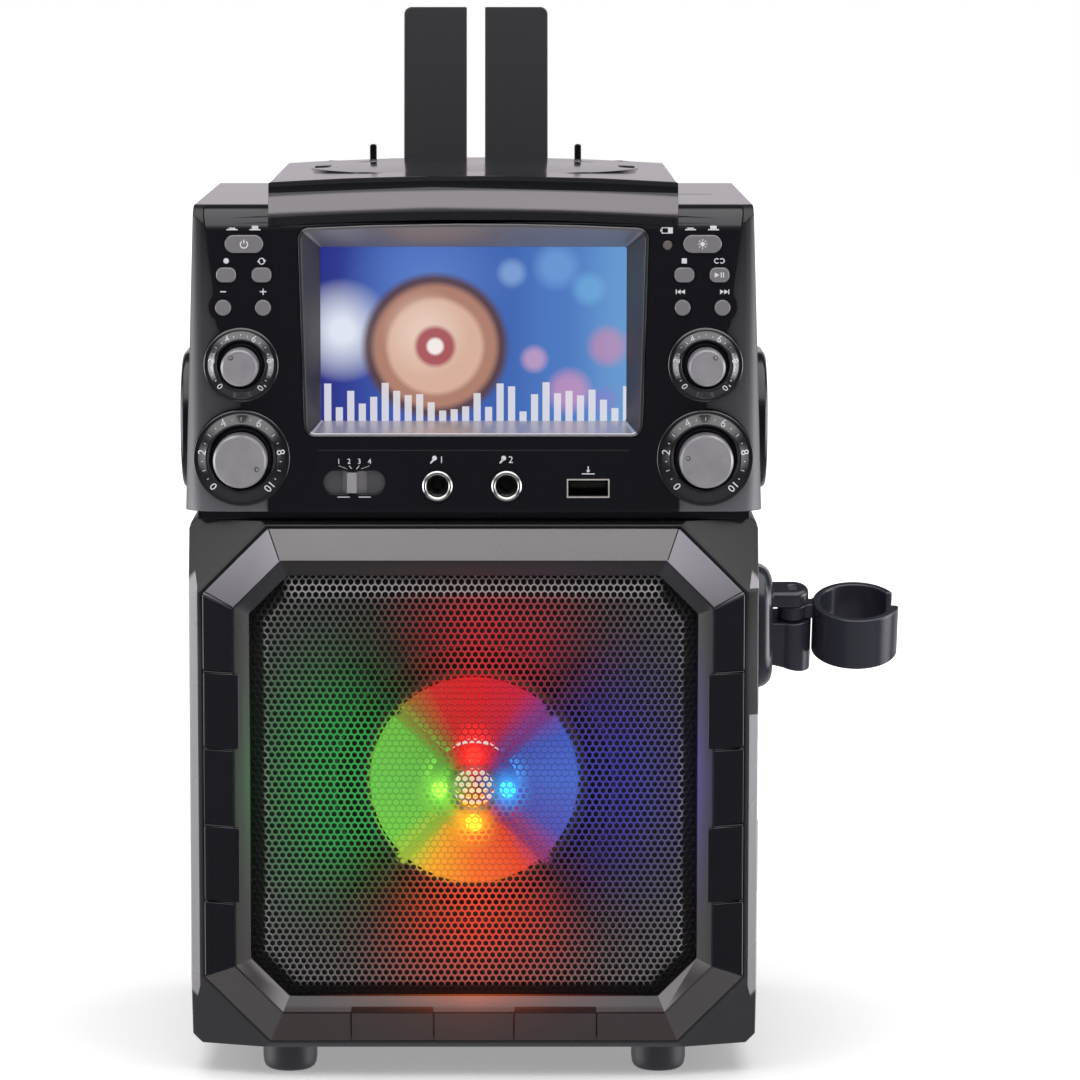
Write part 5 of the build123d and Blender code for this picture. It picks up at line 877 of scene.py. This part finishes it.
# Polished ABS with a thick clear coat: black, with a sharp highlight along each roll.
ring_abs = finish_material("clear_coated_abs", "#15151b", "#121218", 0.18, spread=0.04, coat=0.8,
                           specular=0.95)
ring_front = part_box("dial_rings")[0].y
for name, angle in (("echo", 130.0), ("balance", 50.0), ("mic_volume", -25.0), ("master_volume", 170.0)):
    low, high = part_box(name + "_knob")
    x, z = (low.x + high.x) / 2, (low.z + high.z) / 2
    ring = LARGE_RING if "volume" in name else SMALL_RING
    knob = (high.x - low.x) / 2
    skirt = high.y - low.y - SHAFT_LENGTH
    lathe("ring_" + name, ring_profile(ring, knob), (x, ring_front + RING_RISE, z), (0, -1, 0), "case",
          ring_abs, 128, "dial_rings")
    lathe("knob_" + name, [
        (0.0, 0.00025), (knob * 0.55, 0.0002), (knob * 0.80, 0.0), (knob - 0.0012, 0.00005),
        (knob - 0.0007, 0.0001), (knob - 0.00012, 0.0008), (knob, 0.0012), (knob, skirt),
        (knob - 0.0012, skirt), (0.0, skirt)],
        (x, low.y, z), BACKWARD, name + "_knob", knob_silver, 96, name + "_knob")
    across = knob * DIMPLE_SHARE * cos(radians(angle))
    up = knob * DIMPLE_SHARE * sin(radians(angle))
    lathe("dimple_" + name, [
        (0.0, 0.00025), (0.0003, 0.0002), (0.0005, 0.00005), (0.00065, -0.00005), (0.00075, 0.0)],
        (x + across, low.y + 0.00002, z + up), BACKWARD, name + "_knob", plain_abs, 24)

# ---------- buttons
# Buttons: ten satin silver caps in tight panel openings, each with a rolled rim and held by the
# switch behind it.

# Silver paint on ABS, sprayed: satin and even, a little darker than the knobs.
button_silver = finish_material("satin_silver_paint", "#989499", "#8c888d", 0.32, metallic=0.45, bump=0.05,
                                grain=3000.0)
for name in ("power", "record", "program", "page_down", "page_up", "lights", "stop", "play", "previous",
             "next"):
    refined(name + "_button", name + "_button", button_silver, 0.00035)

# ---------- sockets and slider
# Microphone sockets with turned chrome nuts, a folded steel USB socket with a blue tongue, the
# function slider with its ribbed tab, and the small charge lamp.
NUT_RADIUS = 0.0048

# Chromed brass: a bright mirror with a slight blur.
chrome = finish_material("chromed_brass", "#e4e0e0", "#d6d2d3", 0.2, metallic=1.0)
# Black nylon inside the sockets: it gives back almost no light.
socket_nylon = finish_material("black_nylon", "#0c0c0e", "#09090a", 0.6)
low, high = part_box("mic_jacks")
for number, x in enumerate((low.x + NUT_RADIUS, high.x - NUT_RADIUS)):
    middle = (x, low.y, (low.z + high.z) / 2)
    lathe("jack_%d" % number, [
        (0.0032, 0.0150), (0.0032, 0.0012), (0.0034, 0.0005), (0.0039, 0.0001), (0.0043, 0.0),
        (0.0047, 0.0003), (NUT_RADIUS, 0.0008), (NUT_RADIUS, 0.0012)],
        middle, BACKWARD, "case", chrome, 72, "mic_jacks")
    lathe("jack_hole_%d" % number, [(0.0, 0.0060), (0.0016, 0.0060), (0.0022, 0.0040), (0.0031, 0.0030)],
          middle, BACKWARD, "case", socket_nylon, 48)
# Tinned sheet steel: pale at the mouth, with painted shade that darkens it within.
tinned_steel = finish_material("tinned_steel", "#e6e0da", "#d8d2cc", 0.3, metallic=0.5)
tree, add = nodes_of(tinned_steel)
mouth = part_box("usb_socket")[0].y
depth = axes(tree)[2][1]
# Painted shade deeper inside the socket.
multiplied(tree, add("MapRange", depth, mouth + 0.0005, mouth + 0.0020, 1.0, 0.04))
refined("usb_socket", "case", tinned_steel, 0.0)
# Grey acetal of the slider's tab: satin and pale.
slider_grey = finish_material("grey_acetal", "#b1aeb2", "#a6a3a7", 0.3, metallic=0.4)
refined("function_slider", "slider", slider_grey, 0.0002)
# Smoked acrylic of the charge lamp: brown grey and glossy while the lamp is off.
smoked_lens = finish_material("smoked_acrylic", "#6a625e", "#5c5551", 0.15, coat=0.6)
paint(smoked_lens, "battery_indicator")

# ---------- printed marks
# Printed marks: a thin film of pale grey ink on the panel, the dial rings and three buttons. Plain
# symbols and numbers, pad-printed after moulding. Their shapes are drawn in millimetres.
INK_FILM = 0.00003
# The dials' scales start low on the left and run over the top in steps; every fourth has a number.
SCALE_START = 225
SCALE_STEP = 13.5


def strip(x0, z0, x1, z1):
    """An upright rectangle."""
    return [[(x0, z0), (x1, z0), (x1, z1), (x0, z1)]]


def band_arc(inner, outer, start, stop, steps=24):
    """Part of a ring round the origin, angles in degrees."""
    shapes = []
    for i in range(steps):
        a = radians(start + (stop - start) * i / steps)
        b = radians(start + (stop - start) * (i + 1) / steps)
        shapes.append([(inner * cos(a), inner * sin(a)), (outer * cos(a), outer * sin(a)),
                       (outer * cos(b), outer * sin(b)), (inner * cos(b), inner * sin(b))])
    return shapes


def glyphs(text, size):
    """Numbers as flat shapes about the origin."""
    curve = bpy.data.curves.new("glyph", "FONT")
    curve.body = text
    curve.size = size
    curve.align_x = "CENTER"
    curve.align_y = "CENTER"
    holder = bpy.data.objects.new("glyph", curve)
    bpy.context.scene.collection.objects.link(holder)
    graph = bpy.context.evaluated_depsgraph_get()
    mesh = bpy.data.meshes.new_from_object(holder.evaluated_get(graph))
    shapes = [[tuple(mesh.vertices[i].co.xy) for i in face.vertices] for face in mesh.polygons]
    bpy.data.objects.remove(holder)
    bpy.data.curves.remove(curve)
    bpy.data.meshes.remove(mesh)
    return shapes


def placed(shapes, x, z, turn=0.0):
    """Shapes turned by degrees and moved."""
    c, s = cos(radians(turn)), sin(radians(turn))
    return [[(x + c * px - s * pz, z + s * px + c * pz) for px, pz in shape] for shape in shapes]


def middle_of(node):
    """Centre of a CAD piece's front view in millimetres."""
    low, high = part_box(node)
    return (low.x + high.x) * 500, (low.z + high.z) * 500


def print_marks(name, carrier, body, shapes):
    """Lays flat shapes, in millimetres, on the front of the carrier."""
    mesh = bpy.data.objects[carrier].data
    surface = BVHTree.FromPolygons([v.co for v in mesh.vertices], [list(f.vertices) for f in mesh.polygons])
    work = bmesh.new()
    for shape in shapes:
        corners = []
        for x, z in shape:
            hit = surface.ray_cast(Vector((x / 1000, -0.3, z / 1000)), Vector((0, 1, 0)))[0]
            corners.append(work.verts.new((x / 1000, hit.y - INK_FILM, z / 1000)))
        work.faces.new(corners)
    made = bpy.data.meshes.new(name)
    work.to_mesh(made)
    work.free()
    return new_piece(name, made, body, ink)


def skip_marks(way):
    """Two triangles and a bar that point to the left (-1) or to the right (1)."""
    shapes = []
    for shift in (-0.75, 0.55):
        nose = [(way * (shift + 1.25), 4.9), (way * shift, 5.65), (way * shift, 4.15)]
        shapes.append(nose if way > 0 else nose[::-1])
    return shapes + strip(way * 1.95 - 0.15, 4.15, way * 1.95 + 0.15, 5.65)


# Pad-printing ink: pale grey and matt.
ink = finish_material("pad_printing_ink", "#d6d4d8", "#cccace", 0.55)
two_dashes = strip(-5.4, 4.2, -2.0, 4.55) + strip(-4.7, 4.65, -2.7, 5.0)
two_dashes += strip(1.7, 4.2, 5.1, 4.55) + strip(2.4, 4.65, 4.4, 5.6)
loop_arrows = placed(band_arc(0.75, 1.05, 20, 160, 16) + band_arc(0.75, 1.05, 200, 340, 16), 0.0, 4.2)
loop_arrows += [[(0.35, 4.5), (1.45, 4.5), (0.9, 3.75)], [(-1.45, 3.9), (-0.9, 4.65), (-0.35, 3.9)]]
plus = strip(-1.0, 4.75, 1.0, 5.1) + strip(-0.17, 5.1, 0.17, 5.9) + strip(-0.17, 3.95, 0.17, 4.75)
rings = placed(band_arc(0.55, 0.85, 40, 320), -0.8, 4.3) + placed(band_arc(0.55, 0.85, -140, 140), 0.8, 4.3)
battery = strip(-1.9, 3.6, 1.6, 3.85) + strip(-1.9, 5.25, 1.6, 5.5) + strip(-1.9, 3.85, -1.65, 5.25)
battery += strip(0.1, 3.85, 1.6, 5.25) + strip(-2.3, 4.2, -2.0, 4.9)
microphones = []
for number, side in (("1", -10.8), ("2", 10.8)):
    microphones += placed(glyphs(number, 3.0), side + 1.3, 8.1)
    microphones += placed(band_arc(0.0, 0.75, 0, 360), side - 0.9, 8.7)
    microphones.append([(side - 2.3, 7.2), (side - 2.0, 6.95), (side - 0.75, 8.1), (side - 1.3, 8.6)])
arrow = strip(-2.0, 4.4, 2.0, 4.7) + strip(-0.17, 5.6, 0.17, 6.9) + [[(-0.65, 5.7), (0.0, 4.9), (0.65, 5.7)]]
places = []
for number in range(4):
    mark = SLOT_SHIFT * 1000 + (number - 1.5) * 3.2
    foot = SLOT_SHIFT * 1000 + (number - 1.5) * 1.45
    places += placed(glyphs(str(number + 1), 2.3), mark, 6.6)
    places.append([(foot - 0.13, 4.3), (foot + 0.13, 4.3), (mark + 0.13, 5.3), (mark - 0.13, 5.3)])
places += strip(-4.5, -4.65, -0.7, -4.4) + strip(2.1, -4.65, 5.9, -4.4)
panel_marks = []
for node, shapes in (
    ("power_button", two_dashes),
    ("lights_button", two_dashes),
    ("record_button", placed(band_arc(0.0, 0.85, 0, 360), 0.0, 4.3)),
    ("program_button", loop_arrows),
    ("page_down_button", strip(-0.9, 4.75, 0.9, 5.1)),
    ("page_up_button", plus),
    ("stop_button", strip(-0.8, 3.5, 0.8, 5.1)),
    ("play_button", rings),
    ("previous_button", skip_marks(-1)),
    ("next_button", skip_marks(1)),
    ("battery_indicator", battery),
    ("mic_jacks", microphones),
    ("usb_socket", arrow),
    ("function_slider", places),
):
    panel_marks += placed(shapes, *middle_of(node))
print_marks("panel_marks", "control_panel_look", "case", panel_marks)

power = placed(band_arc(0.95, 1.3, 125, 415), 0.0, -0.1) + strip(-0.17, 0.1, 0.17, 1.4)
lights = band_arc(0.0, 0.7, 0, 360)
for ray in range(8):
    lights += placed(strip(0.95, -0.13, 1.55, 0.13), 0.0, 0.0, 45 * ray)
play = [[(-1.5, -0.8), (0.0, 0.0), (-1.5, 0.8)]] + strip(0.35, -0.8, 0.7, 0.8) + strip(1.05, -0.8, 1.4, 0.8)
for name, shapes in (("power", power), ("lights", lights), ("play", play)):
    button = name + "_button"
    print_marks(name + "_mark", button + "_look", button, placed(shapes, *middle_of(button)))

for name in ("echo", "balance", "mic_volume", "master_volume"):
    low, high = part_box(name + "_knob")
    gap, size = (3.95, 3.5) if "volume" in name else (3.35, 2.9)
    scale_radius = (high.x - low.x) * 500 + gap
    dial_marks = []
    for step in range(21):
        angle = SCALE_START - SCALE_STEP * step
        if step % 4 == 0:
            numeral = placed(glyphs(str(step // 2), size), 0.0, scale_radius)
            dial_marks += placed(numeral, 0.0, 0.0, angle - 90)
        else:
            reach = 0.55 if step % 2 == 0 else 0.3
            dash = strip(scale_radius - reach, -0.1, scale_radius + reach, 0.1)
            dial_marks += placed(dash, 0.0, 0.0, angle)
    dial_marks = placed(dial_marks, *middle_of(name + "_knob"))
    print_marks("scale_" + name, "ring_" + name, "case", dial_marks)

# ---------- cradle and microphone holder
# Tablet cradle of textured ABS on a hinge behind the head. The microphone holder screws to the
# cabinet's side: a domed base with a clevis, and a C-shaped nylon clip that turns on a steel pin.

# Textured ABS, finer than the cabinet's: dark and satin.
cradle_abs = finish_material("fine_textured_abs", "#2d2d31", "#28282b", 0.42, bump=0.12, grain=1600.0)
# Glossy nylon: blue-grey black, with soft highlights along each rolled edge.
gloss_nylon = finish_material("gloss_nylon", "#31313c", "#2a2a35", 0.24, coat=0.5)
refined("tablet_cradle", "cradle", cradle_abs, 0.0005, 3)
refined("mic_holder_base", "case", gloss_nylon, 0.0006, 3)
refined("mic_clip", "clip", gloss_nylon, 0.0006, 3)

# ---------- floor, light and camera
# Pale floor, one long softbox above the front, two upright side strips, soft fill, and the camera.

# White seamless paper: it glows a little more with distance, so that it runs out to plain white.
paper_white = finish_material("seamless_paper", "#ffffff", "#fbfbfb", 0.7, specular=0.0)
tree, add = nodes_of(paper_white)
place = add("TexCoord", out="Object")
away = add("VectorMath LENGTH", place, out="Value")
give_light(tree, (1, 1, 1, 1), add("MapRange", away, 0.12, 0.75, 0.30, 1.0))
floor_mesh = bpy.data.meshes.new("floor")
floor_mesh.from_pydata([(-4, -3, 0), (4, -3, 0), (4, 6, 0), (-4, 6, 0)], [], [(0, 1, 2, 3)])
floor = bpy.data.objects.new("floor", floor_mesh)
bpy.context.scene.collection.objects.link(floor)
floor.data.materials.append(paper_white)
floor.visible_glossy = False

for name, place, target, size, power, gloss in (
    ("key", (0.0, -0.80, 1.15), (0, -0.05, 0.25), (1.7, 0.55), 5.5, False),
    ("above", (0.0, 0.0, 1.7), (0, 0, 0.0), (1.8, 1.8), 17, False),
    ("left", (-1.1, -0.12, 0.35), (0, 0, 0.18), (0.22, 0.9), 1.6, True),
    ("right", (1.1, -0.12, 0.35), (0, 0, 0.18), (0.22, 0.9), 1.6, True),
):
    data = bpy.data.lights.new(name, "AREA")
    data.shape = "RECTANGLE"
    data.size, data.size_y = size
    data.energy = power
    softbox = bpy.data.objects.new(name, data)
    bpy.context.scene.collection.objects.link(softbox)
    softbox.location = place
    softbox.rotation_euler = (Vector(target) - Vector(place)).to_track_quat("-Z", "Y").to_euler()
    softbox.visible_glossy = gloss
    softbox.visible_camera = False

# The room: white to the camera, plain grey as fill, and dark with a bright band overhead and bright
# wings at the sides where it is mirrored.
ground = (0.28, 0.26, 0.28)
world = bpy.data.worlds.new("studio")
bpy.context.scene.world = world
world.use_nodes = True
tree, add = nodes_of(world)
direction = add("TexCoord", out="Generated")
parts = add("SeparateXYZ", direction, out=None)
ahead = add("Math MULTIPLY", parts[1], -1.0)
climb = add("Math ARCTAN2", parts[2], ahead)
share = add("MapRange", climb, -pi, pi)
band = ramp(tree, share, [(0.0, ground), (0.17, 0.18), (0.30, 0.12), (0.40, 0.06), (0.47, 0.02),
                          (0.54, 0.02), (0.578, 0.12), (0.603, 0.85), (0.72, 0.95), (0.80, 0.80),
                          (0.83, 0.03), (0.925, 0.03), (0.955, ground), (1.0, ground)])
sideways = add("Math ABSOLUTE", parts[0])
span = add("MapRange", sideways, 0.62, 0.80, 1.0, 0.22)
ceiling = add("VectorMath MULTIPLY", band, span)
wings = add("MapRange", sideways, 0.82, 0.95, 0.0, 1.6)
low_sky = add("MapRange", parts[2], 0.12, 0.32, 1.0, 0.12)
low_wings = add("Math MULTIPLY", wings, low_sky)
mirrored = add("VectorMath MAXIMUM", ceiling, low_wings)
gloss_tone = add("VectorMath SCALE", {0: mirrored, "Scale": 2.0})
paths = add("LightPath", out=None)
fill = add("Mix", {"Factor": paths["Is Glossy Ray"], 6: (0.26, 0.26, 0.27, 1), 7: gloss_tone}, out=2,
           data_type="RGBA")
tree.links.new(over(tree, fill, paths["Is Camera Ray"], "#ffffff"), tree.nodes["Background"].inputs[0])
tree.nodes["Background"].inputs[1].default_value = 1.0
bpy.context.scene.view_settings.view_transform = "Standard"

camera_data = bpy.data.cameras.new("camera")
camera_data.lens = 160.94
camera_data.sensor_width = 36
camera_data.shift_x = 37.5 / 1080
camera_data.clip_start = 0.05
camera = bpy.data.objects.new("camera", camera_data)
camera.location = (0.00907, -1.575, 0.35675)
camera.rotation_euler = (radians(83), 0, 0)
bpy.context.scene.collection.objects.link(camera)
bpy.context.scene.camera = camera
